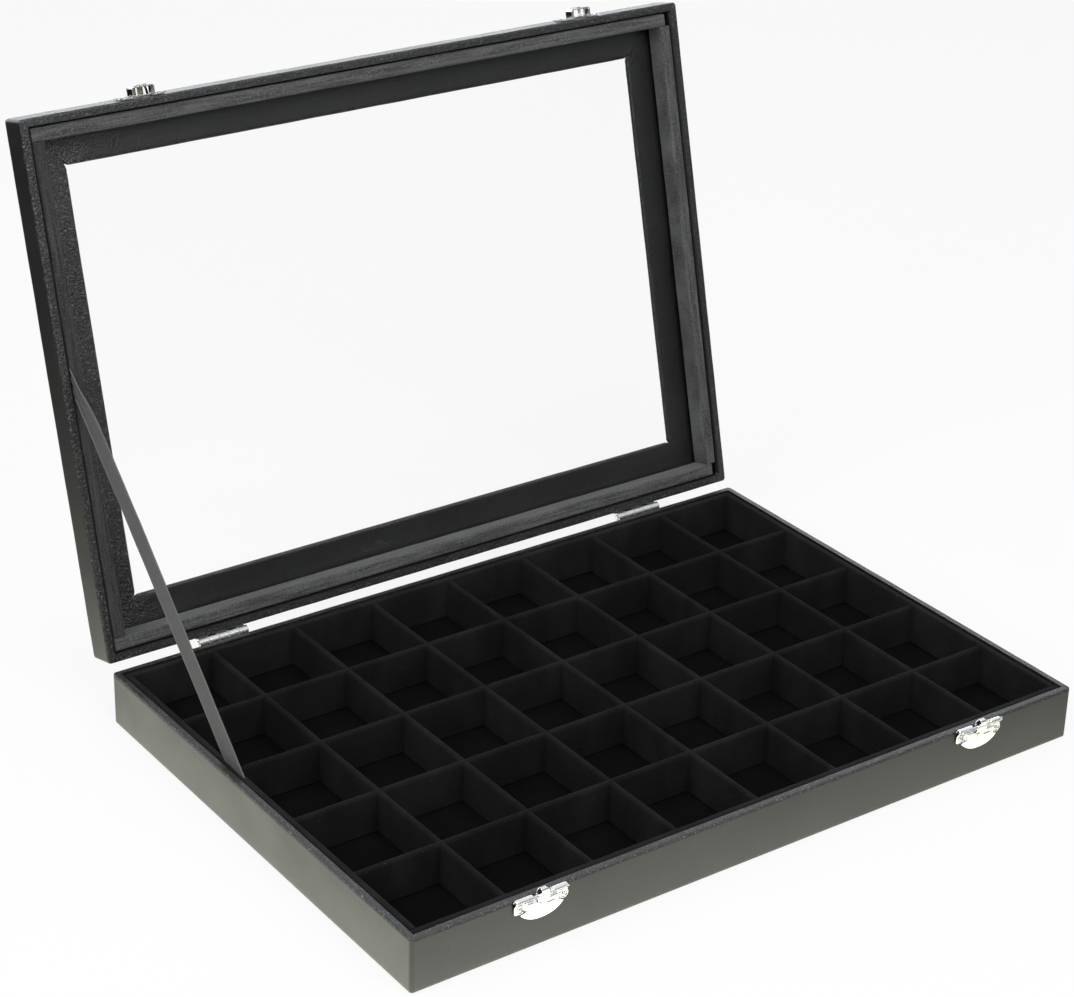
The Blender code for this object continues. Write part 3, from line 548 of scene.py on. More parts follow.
def tray_dividers():
    """Velvet over card: round soft crests, pinched a little where two of them cross."""
    rows = divider_places(INNER_HALF_DEPTH, ROWS)
    columns = divider_places(INNER_HALF_WIDTH, COLUMNS)
    half = DIVIDER_THICKNESS / 2

    def pinched(shape, crossings, drop):
        def both(along, across, height):
            across, height = shape(along, across, height)
            near = min(abs(along - place) for place in crossings)
            pinch = exp(-(near / (1.6 * MM)) ** 2)
            share = max(0.0, (height - 20 * MM) / (4 * MM))
            return across, height - drop * pinch * share
        return both

    def strips(kind, axis, places, crossings, reach, top, seed, drop):
        for i, place in enumerate(places):
            section = round_section(place - half, place + half, DIVIDER_FOOT, top, radius_high=half * 0.95,
                                    steps=6, mids=2)
            shape = pinched(soft_top(seed + i), crossings, drop)
            strip = bar(f"{kind}_velvet_{i + 1}", axis, -reach, reach, section, VELVET, 2.5 * MM, shape)
            dress(strip, "tray", [f"{kind}_divider_{i + 1}"])

    strips("row", 0, rows, columns, INNER_HALF_WIDTH, DIVIDER_TOP, 11.7, 0.15 * MM)
    strips("cross", 1, columns, rows, INNER_HALF_DEPTH, DIVIDER_TOP - 0.1 * MM, 21.1, 0.25 * MM)


def tray_floor():
    """The padded floor, pressed down along the dividers and risen a little in the middle of each cell."""
    half_x = HALF_WIDTH - BASE_WALL - 0.3 * MM
    half_y = HALF_DEPTH - BASE_WALL - 0.3 * MM
    foot = 3.3 * MM
    across, along = 128, 96
    verts = []
    for j in range(along + 1):
        for i in range(across + 1):
            x = -half_x + 2 * half_x * i / across
            y = -half_y + 2 * half_y * j / along
            u = (x / (2 * INNER_HALF_WIDTH + DIVIDER_THICKNESS) + 0.5) * COLUMNS
            v = (y / (2 * INNER_HALF_DEPTH + DIVIDER_THICKNESS) + 0.5) * ROWS
            swell = abs(sin(pi * u)) ** 0.5 * abs(sin(pi * v)) ** 0.5
            swell += 0.15 * noise.noise(Vector((x, y, 0)) / (14 * MM))
            verts.append((x, y, FLOOR_TOP - 0.55 * MM + 0.5 * MM * swell))
    top_count = len(verts)
    faces = []
    for j in range(along):
        for i in range(across):
            a = j * (across + 1) + i
            faces.append((a, a + 1, a + across + 2, a + across + 1))
    rim = list(range(across + 1)) + [(j + 1) * (across + 1) - 1 for j in range(1, along + 1)]
    rim += [along * (across + 1) + i for i in range(across - 1, -1, -1)]
    rim += [j * (across + 1) for j in range(along - 1, 0, -1)]
    for index in rim:
        x, y, _ = verts[index]
        verts.append((x, y, foot))
    for k in range(len(rim)):
        n = (k + 1) % len(rim)
        faces.append((rim[k], rim[n], top_count + n, top_count + k))
    faces.append(tuple(top_count + k for k in range(len(rim))))
    pad = new_object("floor_velvet", verts, faces, FLOOR_VELVET_SHADED)
    dress(pad, "tray", ["base_floor_pad"])


# Lid

def window_notch(point, inset):
    """The wrap's cut opens at each window corner, and the cloth beside it is drawn into small folds."""
    edge = WINDOW_BORDER - inset
    side_x = HALF_WIDTH - WINDOW_BORDER - abs(point.x)
    side_y = HALF_DEPTH - WINDOW_BORDER - abs(point.y)
    near = sqrt(side_x ** 2 + side_y ** 2)
    if inset > LID_WALL and edge < 2.6 * MM:
        across = abs(side_x - side_y) / sqrt(2)
        poke = 1.25 * MM * exp(-(across / (0.55 * MM)) ** 2) * exp(-(near / (2.4 * MM)) ** 2)
        point.x += poke / sqrt(2) * (1 if point.x > 0 else -1)
        point.y += poke / sqrt(2) * (1 if point.y > 0 else -1)
    if inset > LID_WALL + 1 * MM and near < 26 * MM:
        fade = exp(-(near / (11 * MM)) ** 2)
        angle = atan2(side_y, side_x)
        fold = sin(angle * 9 + 5 * noise.noise(point / (6 * MM)))
        point.z -= 0.16 * MM * fade * fold
    return point


def lid_border_specks(point, inset):
    """The border inside the lid's left side, and near its front-left corner, gets the most pale specks and
    deeper grain; the other borders hardly any.
    """
    if inset < LID_WALL + 0.5 * MM or point.z > LID_TOP - 1 * MM:
        return 0.0
    corner = Vector((abs(point.x) - HALF_WIDTH, abs(point.y) - HALF_DEPTH)).length
    left = max(0.0, min(1.0, (-point.x - 140 * MM) / (10 * MM)))
    front_left = exp(-(corner / (34 * MM)) ** 2) if point.x < 0 and point.y < 0 else 0.0
    return 0.05 + 0.3 * left + 0.3 * front_left


def lid_wrap():
    """The lid's frame in one leather cloth: side, rim, and the face that borders the window."""
    low = LID_RIM
    top = LID_TOP
    face = top - LID_FACE
    edge = WRAP_EDGE
    round_face = LID_FACE / 2
    profile = [(edge - x, z, 0.35, 0) for x, z in arc((0, low + edge), edge, -90, 0, 4)]
    profile += [(0, low + h * MM, 0, 0) for h in (2, 5, 8, 11, 13)]
    profile += [(edge - x, z, 0.5, 0) for x, z in arc((0, top - edge), edge, 0, 90, 4)]
    profile += [(w * MM, top, 0, 0) for w in (2, 4, 7, 10, 13, 16, 19, 21, 22)]
    centre = WINDOW_BORDER - round_face
    bend = arc((0, 0), round_face, 90, -90, 8)
    profile += [(centre + q, top - round_face + h, 0.25 if abs(h) < round_face else 0, 0) for q, h in bend]
    profile += [(w * MM, face, 0, 0) for w in (22.2, 21, 19, 16, 13, 10, 7, 5.2)]
    # Painted shade down the lid's inner wall, under the window's face.
    profile += [(LID_WALL, face - 0.4 * MM, 0, 0.6)]
    profile += [(LID_WALL, low + h * MM, 0, 0.3) for h in (5, 2)]
    profile += [(LID_WALL - edge - x, z, 0.2, 0) for x, z in arc((0, low + edge), -edge, 180, 90, 4)]
    for share in (0.65, 0.5, 0.35):
        profile.append((LID_WALL * share, low, 0.3, 0))
    obj = ring("lid_wrap", profile, LID_WRAP, warp=window_notch, add_specks=lid_border_specks)
    wobble(obj, 0.1 * MM, 15 * MM, 2)
    nodes = [f"lid_{side}_rail" for side in ("front", "back", "left", "right")]
    dress(obj, "lid", nodes, closed_lid=True)


def lid_beads():
    """Cloth-wrapped strips round the pane. The front and back ones run through, short of the right rail."""
    low = LID_RIM + 0.4 * MM
    high = 35.4 * MM
    outer_x = HALF_WIDTH - LID_WALL - 0.4 * MM
    outer_y = HALF_DEPTH - LID_WALL - 0.4 * MM
    width = 5.9 * MM

    def wander(seed):
        def shape(along, across, height):
            side = noise.noise(Vector((along / (40 * MM), seed, 2.2)))
            lift = noise.noise(Vector((along / (26 * MM), seed, 5.2)))
            return across + 0.12 * MM * side, height + 0.1 * MM * lift * (1 if height < low + 2 * MM else 0)
        return shape

    for i, (side, sign) in enumerate((("front", -1), ("back", 1))):
        near, far = sorted((sign * outer_y, sign * (outer_y - width)))
        section = round_section(near, far, low, high, radius_low=0.9 * MM)
        shape = wander(1.5 + i)
        strip = bar(f"{side}_bead", 0, -outer_x, outer_x - 2.8 * MM, section, BEAD_LONG, shape=shape)
        dress(strip, "lid", [f"lid_{side}_bead"], closed_lid=True)
    reach = outer_y - width - 0.15 * MM
    for i, (side, sign) in enumerate((("left", -1), ("right", 1))):
        near, far = sorted((sign * outer_x, sign * (outer_x - width)))
        section = round_section(near, far, low, high, radius_low=0.9 * MM)
        cloth = BEAD_LEFT_SHADED if side == "left" else BEAD_RIGHT
        strip = bar(f"{side}_bead", 1, -reach, reach, section, cloth, shape=wander(8.5 + i))
        dress(strip, "lid", [f"lid_{side}_bead"], closed_lid=True)


# Stay strap

STRAP_WIDTH = 11.6 * MM
STRAP_THICKNESS = 0.7 * MM
STRAP_FOOT = Vector((-169.5 * MM, 22 * MM, 24.4 * MM))
STRAP_HEAD = LID_TURN @ Vector((-169.9 * MM, -10.4 * MM, 26.2 * MM))
STRAP_CUT_Z = 23.9 * MM
STRAP_BOW = 0.4 * MM


def strap():
    """A flat ribbed ribbon drawn tight from the tray's lining to the lid's rail, gathered where it ends."""
    stations, across = 110, 12
    length = (STRAP_HEAD - STRAP_FOOT).length
    run = (STRAP_HEAD - STRAP_FOOT).normalized()
    flat = Vector((1, 0, 0))
    wide = run.cross(flat)
    inwards = LID_TURN.to_3x3() @ Vector((0, 0, -1))
    half = STRAP_WIDTH / 2
    verts, uvs, fray_and_glint = [], [], []
    for i in range(stations + 1):
        share = i / stations
        near_lid = max(0.0, (share - 0.8) / 0.2)
        gather = near_lid ** 2 * (3 - 2 * near_lid)
        for side in (-1, 1):
            for k in range(across + 1):
                u = (k / across * 2 - 1) * -side
                drawn = 1 - (1 - u) * (1 - 0.4 * gather)
                start = (STRAP_CUT_Z - STRAP_FOOT.z - wide.z * u * half) / run.z
                end = length - wide.dot(inwards) / run.dot(inwards) * drawn * half
                along = start + (end - start) * share
                bow = STRAP_BOW * sin(pi * min(1.0, max(0.0, along / length)))
                swell = 1 if abs(u) < 0.9 else 0.75
                lift = side * STRAP_THICKNESS / 2 * swell
                lift += 0.16 * MM * noise.noise(Vector((along / (17 * MM), u * 0.7, 3)))
                lift += 0.32 * MM * gather * sin(u * 8 + 1)
                verts.append(STRAP_FOOT + run * along + wide * drawn * half + flat * (bow + lift))
                uvs.append((u * half, along))
                # Pale edge threads, strongest at the head: frayed threads, and a painted highlight for the
                # glint at the head.
                near_head = exp(-((length - along) / (30 * MM)) ** 2)
                upper, lower = max(0.0, (u - 0.8) / 0.2), max(0.0, (-u - 0.85) / 0.15)
                fray_and_glint.append((0.25 + 0.75 * near_head) * upper + 0.2 * lower)
    faces = tube_faces(2 * (across + 1), stations + 1)
    obj = new_object("stay_strap", verts, faces, RIBBON, values={"fray_and_glint": fray_and_glint})
    layer = obj.data.uv_layers.new(name="run")
    for corner in obj.data.loops:
        layer.data[corner.index].uv = uvs[corner.vertex_index]
    dress(obj, None, ["lid_strap"])
    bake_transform(obj)


# Catches and hinges

CATCHES = (("left", -115.2 * MM), ("right", 118.8 * MM))
CATCH_AXIS_Y = -122.7 * MM
CATCH_AXIS_Z = 24.6 * MM
CATCH_TILTS = {"left": radians(-0.8), "right": radians(1.8)}
CATCH_SHIFTS = {"left": 0.1 * MM, "right": -0.7 * MM}
CATCH_TURN_Z = 22 * MM
PLATE_HALF = 12.8 * MM
PLATE_CORNER = 1.3 * MM
PLATE_FOOT = -6.3 * MM
PLATE_HEAD = -0.1 * MM
LIP_ENDS = (("a", -12.7 * MM, -4.3 * MM), ("b", 4.3 * MM, 11.9 * MM))
LIP_CENTRE = (1.1 * MM, -0.05 * MM)
LIP_RADIUS = 0.95 * MM
HOLLOW_RADIUS = 0.84 * MM
FLAP_FOOT = -10.9 * MM
FLAP_HALF = 10.4 * MM
FLAP_SAGITTA = 4.5 * MM
WAIST_HALF = 7.7 * MM
NOSE_HALF = 2.75
NOSE_MIDDLE = 1.95
NAILS = (("a", -9.6 * MM, -8.6 * MM), ("b", 10.8 * MM, 8.6 * MM))
PLATE_NAIL_Z = -4.1 * MM
KEEPER_NAIL_Z = LID_RIM + 5.05 * MM
KEEPER_WALL_Z = 32.6 * MM
HINGE_PLACE = 118 * MM
HINGE_LENGTH = 25 * MM
HINGE_NAIL_RISE = 6 * MM
FRONTWARDS = (0, -1, 0)
BACKWARDS = (0, 1, 0)


def lathe(name, outline, centre, direction, material, sides=20, painted_shade=None):
    """Turn an outline of (radius, height) points about a direction, with a painted shade value for each
    outline point.
    """
    direction = Vector(direction).normalized()
    side = direction.orthogonal().normalized()
    other = direction.cross(side)
    verts, marks = [], []
    for i, (radius, height) in enumerate(outline):
        for k in range(sides):
            a = 2 * pi * k / sides
            verts.append(Vector(centre) + direction * height + (side * cos(a) + other * sin(a)) * radius)
            marks.append(painted_shade[i] if painted_shade else 0.0)
    return new_object(name, verts, tube_faces(sides, len(outline)), material, values={"painted_shade": marks})


def nail(name, centre, direction, radius, material):
    """A domed nail head with painted shade at its foot and in a small struck dimple."""
    outline = [(radius, -0.5 * MM), (radius, 0.02 * MM), (radius * 0.9, 0.2 * MM), (radius * 0.7, 0.34 * MM),
               (radius * 0.45, 0.4 * MM), (radius * 0.3, 0.36 * MM), (radius * 0.18, 0.28 * MM),
               (0.02 * MM, 0.24 * MM)]
    return lathe(name, outline, centre, direction, material, painted_shade=[1, 0.9, 0.5, 0.1, 0, 0.4, 0.8, 0.8])


def pressed_ring(name, centre, direction, radius, material):
    """A raised ring stamped round a nail, with painted shade lines at its foot."""
    half = [(0.42, -0.1), (0.3, 0.14), (0.12, 0.26), (-0.12, 0.26), (-0.3, 0.14), (-0.42, -0.1)]
    outline = [(radius + beyond * MM, height * MM) for beyond, height in half]
    return lathe(name, outline, centre, direction, material, sides=32, painted_shade=[1, 0.25, 0, 0, 0.5, 1])


def sheet_grid(name, rows, material, thickness, painted_shade=None):
    """A sheet through rows of points, thickened both ways, with an optional painted shade value per point."""
    count = len(rows[0])
    verts = [point for row in rows for point in row]
    faces = []
    for i in range(len(rows) - 1):
        for k in range(count - 1):
            a = i * count + k
            faces.append((a, a + 1, a + count + 1, a + count))
    values = {"painted_shade": painted_shade if painted_shade else [0.0] * len(verts)}
    obj = new_object(name, verts, faces, material, 60, values)
    shell = obj.modifiers.new("sheet", "SOLIDIFY")
    shell.thickness = thickness
    shell.offset = 0
    return obj


def on_front(centre, x, out, height):
    """A place on a catch: along the case, out from its front, and above the pin."""
    return Vector((centre + x, -HALF_DEPTH - out, CATCH_AXIS_Z + height))


def rounded_end(distance, radius):
    """How far a rounded corner draws a side in, at a distance from the end it turns into."""
    reach = max(0.0, radius - distance)
    return radius - sqrt(max(0.0, radius ** 2 - reach ** 2))


def flap_out(x, h):
    """How far the lever's flap stands out from the case at a place below the pin."""
    share = (h - FLAP_FOOT) / -FLAP_FOOT
    dome = 0.8 * MM * max(0.0, 1 - (x / FLAP_HALF) ** 2) * sin(pi * min(1.0, share * 1.05 + 0.06))
    return 0.95 * MM + 1.1 * MM * max(0.0, share) ** 0.8 + dome


def catch_plate(side, centre, tilt):
    """The catch's plate: flat ears, a face that swells out under a slot, and a lip curled over the slot."""
    path = [(0.5, -6.3), (0.52, -6.1), (0.54, -5.8), (0.56, -5.4), (0.58, -5), (0.6, -4), (0.65, -3.2),
            (0.8, -2.4), (1.2, -1.6), (1.65, -0.9), (2.0, -0.4), (2.15, -0.1)]
    rows = []
    for out, height in path:
        reach = PLATE_HALF - rounded_end(height * MM - PLATE_FOOT, PLATE_CORNER)
        reach -= rounded_end(PLATE_HEAD - height * MM, 0.4 * MM)
        row = []
        for k in range(65):
            x = reach * (k / 32 - 1)
            inner = max(0.0, min(1.0, (8.3 * MM - abs(x)) / (0.9 * MM)))
            behind = flap_out(x, height * MM) - 0.55 * MM
            row.append(on_front(centre, x, out * MM + max(0.0, behind - out * MM) * inner, height * MM))
        rows.append(row)
    plate = sheet_grid(f"{side}_catch_plate", rows, CHROME, 0.4 * MM)
    dress(plate, "tray", [f"{side}_latch_plate"], tilt=tilt)
    for end, low, high in LIP_ENDS:
        middle, half = (low + high) / 2, (high - low) / 2
        curl = arc(LIP_CENTRE, LIP_RADIUS, 205, 30, 10)
        shut = [(2.05 * MM, 0.35 * MM), (2.12 * MM, 0.1 * MM), (2.12 * MM, -0.2 * MM)]
        tucked = [(1.7 * MM, 0.35 * MM), (1.4 * MM, 0.2 * MM), (1.1 * MM, 0.1 * MM)]
        rows = []
        for i in range(len(curl) + 3):
            row = []
            for k in range(17):
                u = k / 8 - 1
                near_end = max(0.0, abs(u) - 0.86) / 0.14
                if i < len(curl):
                    out, height = curl[i]
                else:
                    inner, outer = Vector(tucked[i - len(curl)]), Vector(shut[i - len(curl)])
                    out, height = inner.lerp(outer, min(1.0, near_end * 2))
                row.append(on_front(centre, middle + half * u, out, height - 0.35 * MM * near_end ** 2))
            rows.append(row)
        dress(sheet_grid(f"{side}_catch_lip_{end}", rows, CHROME, 0.3 * MM), "tray", tilt=tilt)
        # Painted shade: a near-black bar inside the curl stands for its shadowed inside.
        inside = arc(LIP_CENTRE, HOLLOW_RADIUS, 0, 330, 11)
        section = [(-HALF_DEPTH - out, CATCH_AXIS_Z + height) for out, height in inside]
        reach = half - 0.7 * MM
        middle += centre
        dark = bar(f"{side}_catch_shade_bar_{end}", 0, middle - reach, middle + reach, section, SHADE_SHEET)
        dress(dark, "tray", tilt=tilt)


def lever_half_width(h):
    """Half the flap's width at a height below the pin: a half moon, then the waist between the nails."""
    radius = (FLAP_HALF ** 2 + FLAP_SAGITTA ** 2) / (2 * FLAP_SAGITTA)
    depth = h - FLAP_FOOT
    if depth <= FLAP_SAGITTA:
        return sqrt(max(0.0, radius ** 2 - (radius - depth) ** 2))
    share = min(1.0, (depth - FLAP_SAGITTA) / (1.2 * MM))
    return FLAP_HALF + (WAIST_HALF - FLAP_HALF) * share ** 0.6


def lever(side, centre, tilt):
    """The catch's lever: a domed half-moon flap with a pressed crease, slot and fold carrying painted shade,
    a waist and a rolled nose.
    """
    heights = [-10.9, -10.8, -10.6, -10.3, -9.9, -9.5, -9.1, -8.7, -8.3, -7.9, -7.5, -7.1, -6.8, -6.6, -6.4,
               -6.25, -6.1, -5.9, -5.6, -5.3, -5.05, -4.8, -4.6, -4.4, -4.25, -4.1, -3.95, -3.8, -3.65, -3.5,
               -3.3, -3.1, -2.9, -2.7, -2.5, -2.3]
    columns = 64
    rows, marks = [], []
    for h_mm in heights:
        h = h_mm * MM
        half = max(lever_half_width(h), 0.25 * MM)
        row = []
        for k in range(columns + 1):
            x = half * (k / columns * 2 - 1)
            line = -2.1 * MM - (h + 2.4 * MM) * 0.34 + 0.25 * MM * sin((h + 2.4 * MM) / (1.6 * MM))
            crease = exp(-((x - line) / (0.26 * MM)) ** 2) * max(0.0, min(1.0, (h + 8.2 * MM) / (2.5 * MM)))
            slot_x = max(0.0, abs(x - 3.7 * MM) - 1.7 * MM)
            slot = exp(-(slot_x / (0.3 * MM)) ** 2 - ((h + 3.95 * MM) / (0.22 * MM)) ** 2)
            fold_x = max(0.0, abs(x + 1.9 * MM) - 0.7 * MM)
            fold_h = h + 2.75 * MM + (x + 1.9 * MM) * 0.3
            fold = exp(-(fold_x / (0.3 * MM)) ** 2 - (fold_h / (0.2 * MM)) ** 2)
            pressed = 0.3 * MM * crease + 0.35 * MM * slot + 0.25 * MM * fold
            row.append(on_front(centre, x, flap_out(x, h) - pressed, h))
            # Painted shade: the crease, slot and fold are darkened as well as pressed in.
            marks.append(min(1.0, 0.5 * crease + 1.3 * slot + 1.1 * fold))
        rows.append(row)
    flap = sheet_grid(f"{side}_lever_flap", rows, CHROME, 0.4 * MM, marks)
    dress(flap, f"{side}_lever", [f"{side}_latch_lever"], tilt=tilt)
    neck(side, centre, tilt)


def neck(side, centre, tilt):
    """The lever's neck climbs in front of the pin and rolls over into a round nose with an open end."""
    path = [(2.45, -2.5), (2.7, -1.8), (2.85, -1.0), (2.9, -0.3), (2.9, 0.3)]
    turns = [radians(a) for a in range(-48, 250, 18)]
    roll = [(NOSE_MIDDLE + 0.95 * cos(a), NOSE_MIDDLE + 1.45 * sin(a)) for a in turns]
    rows = []
    for i, (out, height) in enumerate(path + roll):
        half = NOSE_HALF * sqrt(max(0.12, 1 - (max(0.0, height - 0.4) / 3.3) ** 2))
        opening = 1.5 * exp(-((i - 7.5) / 2.2) ** 2)
        row = []
        for k in range(13):
            x = -half + opening + (2 * half - opening) * k / 12
            row.append(on_front(centre, x * MM, out * MM, height * MM))
        rows.append(row)
    nose = sheet_grid(f"{side}_lever_neck", rows, CHROME, 0.4 * MM)
    dress(nose, f"{side}_lever", tilt=tilt)
    # Painted shade: a near-black bar inside the rolled nose stands for its shadowed inside.
    turns = [radians(a) for a in range(0, 360, 30)]
    inside = [(-HALF_DEPTH - (1.85 + 0.6 * cos(a)) * MM, CATCH_AXIS_Z + (1.9 + 1.1 * sin(a)) * MM)
              for a in turns]
    dark = bar(f"{side}_lever_shade_bar", 0, centre - 2.1 * MM, centre + 1.9 * MM, inside, SHADE_SHEET)
    dress(dark, f"{side}_lever", tilt=tilt)
    axis = Vector((centre, CATCH_AXIS_Y, CATCH_AXIS_Z))
    bush = lathe(f"{side}_lever_bush", [(1.2 * MM, -3.1 * MM), (1.2 * MM, 3.1 * MM)], axis, (1, 0, 0), CHROME)
    dress(bush, f"{side}_lever", tilt=tilt)


def keeper_walls(side, centre):
    """The box behind the keeper's bridge: two walls, tarnished on the left catch, with a slot between, and
    near-black sheets of painted shade at their edges.
    """
    def wall(name, low, high, foot, top, material, lean=0.0):
        rows = []
        for j in range(5):
            out = (foot + (top - foot) * j / 4) * MM
            height = KEEPER_WALL_Z + 0.12 * MM * sin(3 * j)
            row = []
            for k in range(7):
                x = (low + (high - low) * k / 6 + lean * (out / MM - foot)) * MM
                row.append(Vector((centre + x, -HALF_DEPTH - out, height + 0.15 * MM * cos(k * 1.9 + j))))
            rows.append(row)
        piece = sheet_grid(f"{side}_keeper_{name}", rows, material, 0.3 * MM)
        dress(piece, "lid", closed_lid=True)

    # The edge and leg sheets are near black: painted shade.
    if side == "left":
        wall("wall_a", -4.9, -0.7, 0.9, 4.5, TARNISHED)
        wall("wall_b", 0.1, 2.9, 0.9, 4.7, TARNISHED)
        wall("edge", -0.1, 4.9, 4.55, 5.0, SHADE_SHEET)
        wall("leg", 4.3, 5.3, 0.9, 4.6, SHADE_SHEET, -0.2)
    else:
        wall("wall_a", -1.2, 0.4, 0.9, 4.6, STEEL)
        wall("wall_b", 3.2, 4.9, 0.9, 4.6, STEEL, -0.15)
        wall("edge", -1.4, 4.9, 4.55, 5.0, SHADE_SHEET)


def catches():
    """Both catches, each turned and shifted a little on the case, with their nails and keeper walls."""
    for side, centre in CATCHES:
        middle = Vector((centre, 0, CATCH_TURN_Z))
        turn = Matrix.Rotation(CATCH_TILTS[side], 4, "Y")
        tilt = Matrix.Translation(middle) @ turn @ Matrix.Translation(-middle)
        tilt = Matrix.Translation((CATCH_SHIFTS[side], 0, 0)) @ tilt
        catch_plate(side, centre, tilt)
        lever(side, centre, tilt)
        for end, plate_x, keeper_x in NAILS:
            place = on_front(centre, plate_x, 0.85 * MM, PLATE_NAIL_Z)
            head = nail(f"{side}_plate_nail_{end}", place, FRONTWARDS, 0.85 * MM, STEEL)
            dress(head, "tray", tilt=tilt)
            stamped = pressed_ring(f"{side}_plate_ring_{end}", place, FRONTWARDS, 1.9 * MM, CHROME)
            dress(stamped, "tray", tilt=tilt)
            place = (centre + keeper_x, -HALF_DEPTH - 0.8 * MM, KEEPER_NAIL_Z)
            head = nail(f"{side}_keeper_nail_{end}", place, FRONTWARDS, 1 * MM, STEEL)
            dress(head, "lid", closed_lid=True)
        keeper_walls(side, centre)


def hinge_nails():
    for side, sign in (("left", -1), ("right", 1)):
        for end, step in (("a", -1), ("b", 1)):
            x = sign * HINGE_PLACE + step * HINGE_LENGTH / 3
            for name, body, up in (("hinge_nail", "tray", -1), ("hinge_lid_nail", "lid", 1)):
                place = (x, HALF_DEPTH + 1 * MM, HINGE.z + up * HINGE_NAIL_RISE)
                head = nail(f"{side}_{name}_{end}", place, BACKWARDS, 1.1 * MM, STEEL)
                dress(head, body, closed_lid=body == "lid")


def carried_over():
    """The frame's own solids that stay in sight get the fine materials."""
    finishes = {"lid_glass": GLASS, "base_bottom_board": PAPER}
    for side in ("left", "right"):
        for name in ("hinge_base_leaf", "hinge_lid_leaf", "hinge_pin", "latch_pin", "latch_spring"):
            finishes[f"{side}_{name}"] = STEEL
        finishes[f"{side}_latch_keeper"] = CHROME
    for name, material in finishes.items():
        for slot in frame["nodes"][name].material_slots:
            slot.material = material


# Camera, floor and light

CAMERA_PLACE = (-0.6467, -0.8416, 0.6354)
CAMERA_LENS = 92.345
CAMERA_ANGLES = (36.0656, 26.1760, 1.5963)
FLOOR_Z = -0.5 * MM
FLOOR_REACH = 6.0
GLOW_FADE = 0.135


def camera():
    azimuth, elevation, roll = (radians(angle) for angle in CAMERA_ANGLES)
    view = Vector((sin(azimuth) * cos(elevation), cos(azimuth) * cos(elevation), -sin(elevation)))
    right = view.cross(Vector((0, 0, 1))).normalized()
    up = right.cross(view)
    turned_right = right * cos(roll) + up * sin(roll)
    turned_up = up * cos(roll) - right * sin(roll)
    data = bpy.data.cameras.new("camera")
    data.lens = CAMERA_LENS
    data.sensor_width = 36
    data.clip_start = 0.01
    obj = bpy.data.objects.new("camera", data)
    turn = Matrix((turned_right, turned_up, -view)).transposed().to_4x4()
    obj.matrix_world = Matrix.Translation(CAMERA_PLACE) @ turn
    bpy.context.collection.objects.link(obj)
    bpy.context.scene.camera = obj


def floor():
    """White paper: white to the camera, bright near the case and dimmer further off in reflections."""
    mesh = bpy.data.meshes.new("floor")
    corners = [(x * FLOOR_REACH, y * FLOOR_REACH, FLOOR_Z) for x, y in ((-1, -1), (1, -1), (1, 1), (-1, 1))]
    mesh.from_pydata(corners, [], [(0, 1, 2, 3)])
    n = Nodes("white_paper")
    n.tree.nodes.remove(n.shader)
    place = n.place()
    rays = n.add("ShaderNodeLightPath").outputs
    inputs = {0: n.add("ShaderNodeVectorMath", {0: place}, operation="ABSOLUTE").outputs[0],
              1: (HALF_WIDTH, HALF_DEPTH, 1.0)}
    outside = n.add("ShaderNodeVectorMath", inputs, operation="SUBTRACT").outputs[0]
    outside = n.add("ShaderNodeVectorMath", {0: outside, 1: (0.0, 0.0, 0.0)}, operation="MAXIMUM").outputs[0]
    away = n.add("ShaderNodeVectorMath", {0: outside}, operation="LENGTH").outputs["Value"]
    fade = n.math("EXPONENT", n.math("MULTIPLY", away, -1 / GLOW_FADE))
    split = n.add("ShaderNodeSeparateXYZ", {0: place})
    sideways = n.span(split.outputs["X"], -0.2, 0.2, 2.4, 1.35)
    inwards = n.span(split.outputs["Y"], -0.12, 0.14, 1.0, 0.88)
    glow = n.math("MULTIPLY", n.math("MULTIPLY", sideways, inwards), fade)
    matte = n.add("ShaderNodeBsdfDiffuse", {"Color": (0.8, 0.8, 0.8, 1)}).outputs[0]
    seen = n.add("ShaderNodeEmission", {"Color": (1, 1, 1, 1), "Strength": 1.0}).outputs[0]
    mirrored = n.add("ShaderNodeEmission", {"Color": (0.97, 1, 0.86, 1), "Strength": glow}).outputs[0]
    straight = n.math("MAXIMUM", rays["Is Camera Ray"], rays["Is Transmission Ray"])
    straight = n.math("MULTIPLY", straight, 0.86)
    first = n.add("ShaderNodeMixShader", {0: straight, 1: matte, 2: seen}).outputs[0]
    second = n.add("ShaderNodeMixShader", {0: rays["Is Glossy Ray"], 1: first, 2: mirrored}).outputs[0]
    n.link(second, n.output.inputs["Surface"])
    mesh.materials.append(n.owner)
    obj = bpy.data.objects.new("floor", mesh)
    bpy.context.collection.objects.link(obj)


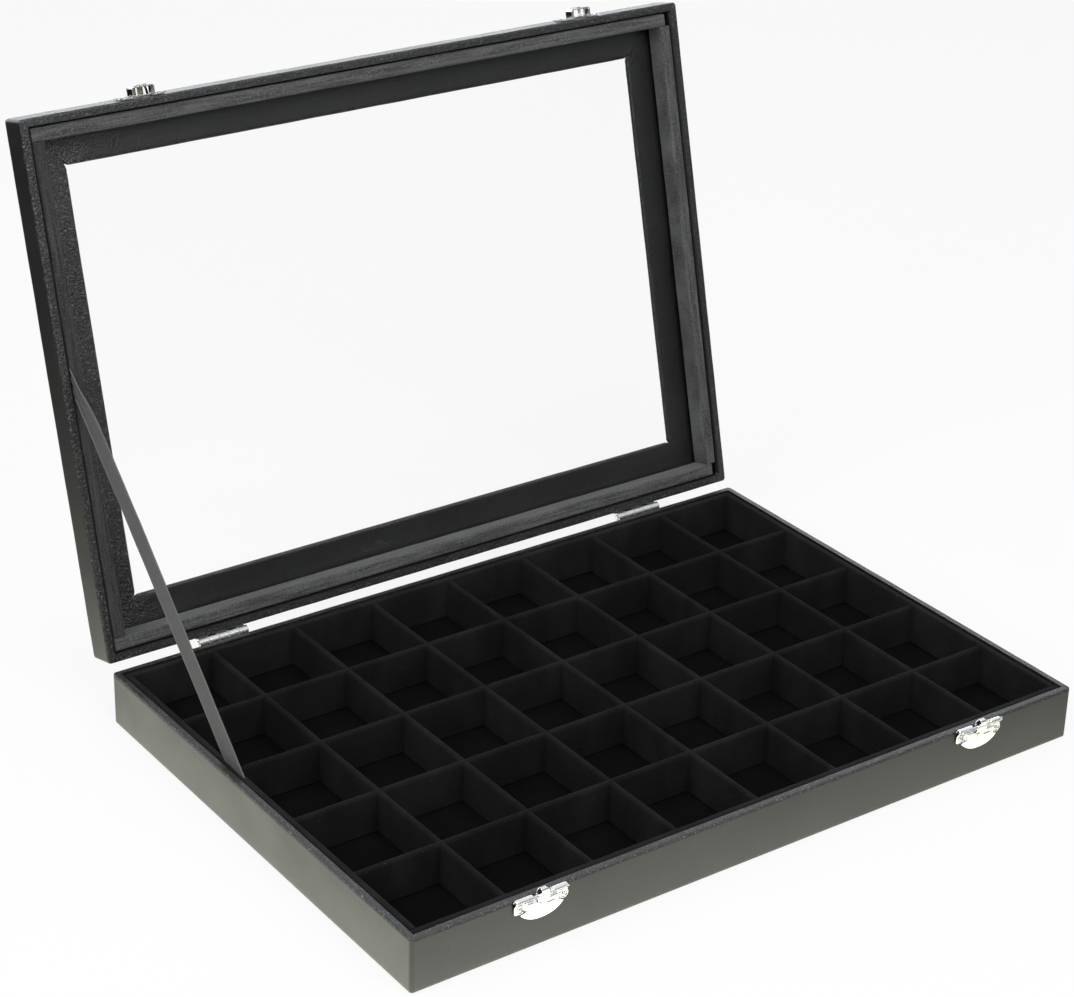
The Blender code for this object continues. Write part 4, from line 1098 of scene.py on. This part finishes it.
def world():
    """White behind everything; a plain sky for light; in reflections a room, bright at the back."""
    n = Nodes("studio", bpy.data.worlds.new("studio"))
    bpy.context.scene.world = n.owner
    n.tree.nodes.clear()
    rays = n.add("ShaderNodeLightPath").outputs
    place = n.add("ShaderNodeTexCoord").outputs["Generated"]
    height = n.add("ShaderNodeSeparateXYZ", {0: place}).outputs["Z"]
    inputs = {0: place, 1: (0.59, 0.81, 0.0)}
    facing = n.add("ShaderNodeVectorMath", inputs, operation="DOT_PRODUCT").outputs["Value"]
    back_high = n.span(height, 0.14, 0.45, 1.7, 0.92)
    back = n.span(height, 0.0, 0.16, 6.5, back_high)
    front = n.span(height, 0.02, 0.5, 0.1, 0.75)
    strength = n.span(facing, 0.0, 0.85, front, back)
    light = n.add("ShaderNodeBackground", {"Color": (1, 1, 1, 1), "Strength": 0.55}).outputs[0]
    room = n.add("ShaderNodeBackground", {"Color": (0.96, 1, 1.04, 1), "Strength": strength}).outputs[0]
    white = n.add("ShaderNodeBackground", {"Color": (1, 1, 1, 1)}).outputs[0]
    glossy = n.add("ShaderNodeMixShader", {0: rays["Is Glossy Ray"], 1: light, 2: room}).outputs[0]
    seen = n.math("MAXIMUM", rays["Is Camera Ray"], rays["Is Transmission Ray"])
    last = n.add("ShaderNodeMixShader", {0: seen, 1: glossy, 2: white}).outputs[0]
    n.link(last, n.add("ShaderNodeOutputWorld").inputs["Surface"])


def lamp(name, place, target, size, power):
    data = bpy.data.lights.new(name, "AREA")
    data.shape = "SQUARE"
    data.size = size
    data.energy = power
    obj = bpy.data.objects.new(name, data)
    obj.location = place
    obj.rotation_euler = (Vector(target) - Vector(place)).to_track_quat("-Z", "Y").to_euler()
    bpy.context.collection.objects.link(obj)


tray_wrap()
tray_linings()
tray_dividers()
tray_floor()
lid_wrap()
lid_beads()
strap()
catches()
hinge_nails()
carried_over()
camera()
floor()
world()
lamp("left_softbox", (-1.3, -0.1, 1.0), (0, 0, 0.05), 0.9, 11)
lamp("front_softbox", (-0.1, -1.1, 1.25), (0, 0, 0), 1.0, 15)
bpy.context.scene.view_settings.view_transform = "Standard"
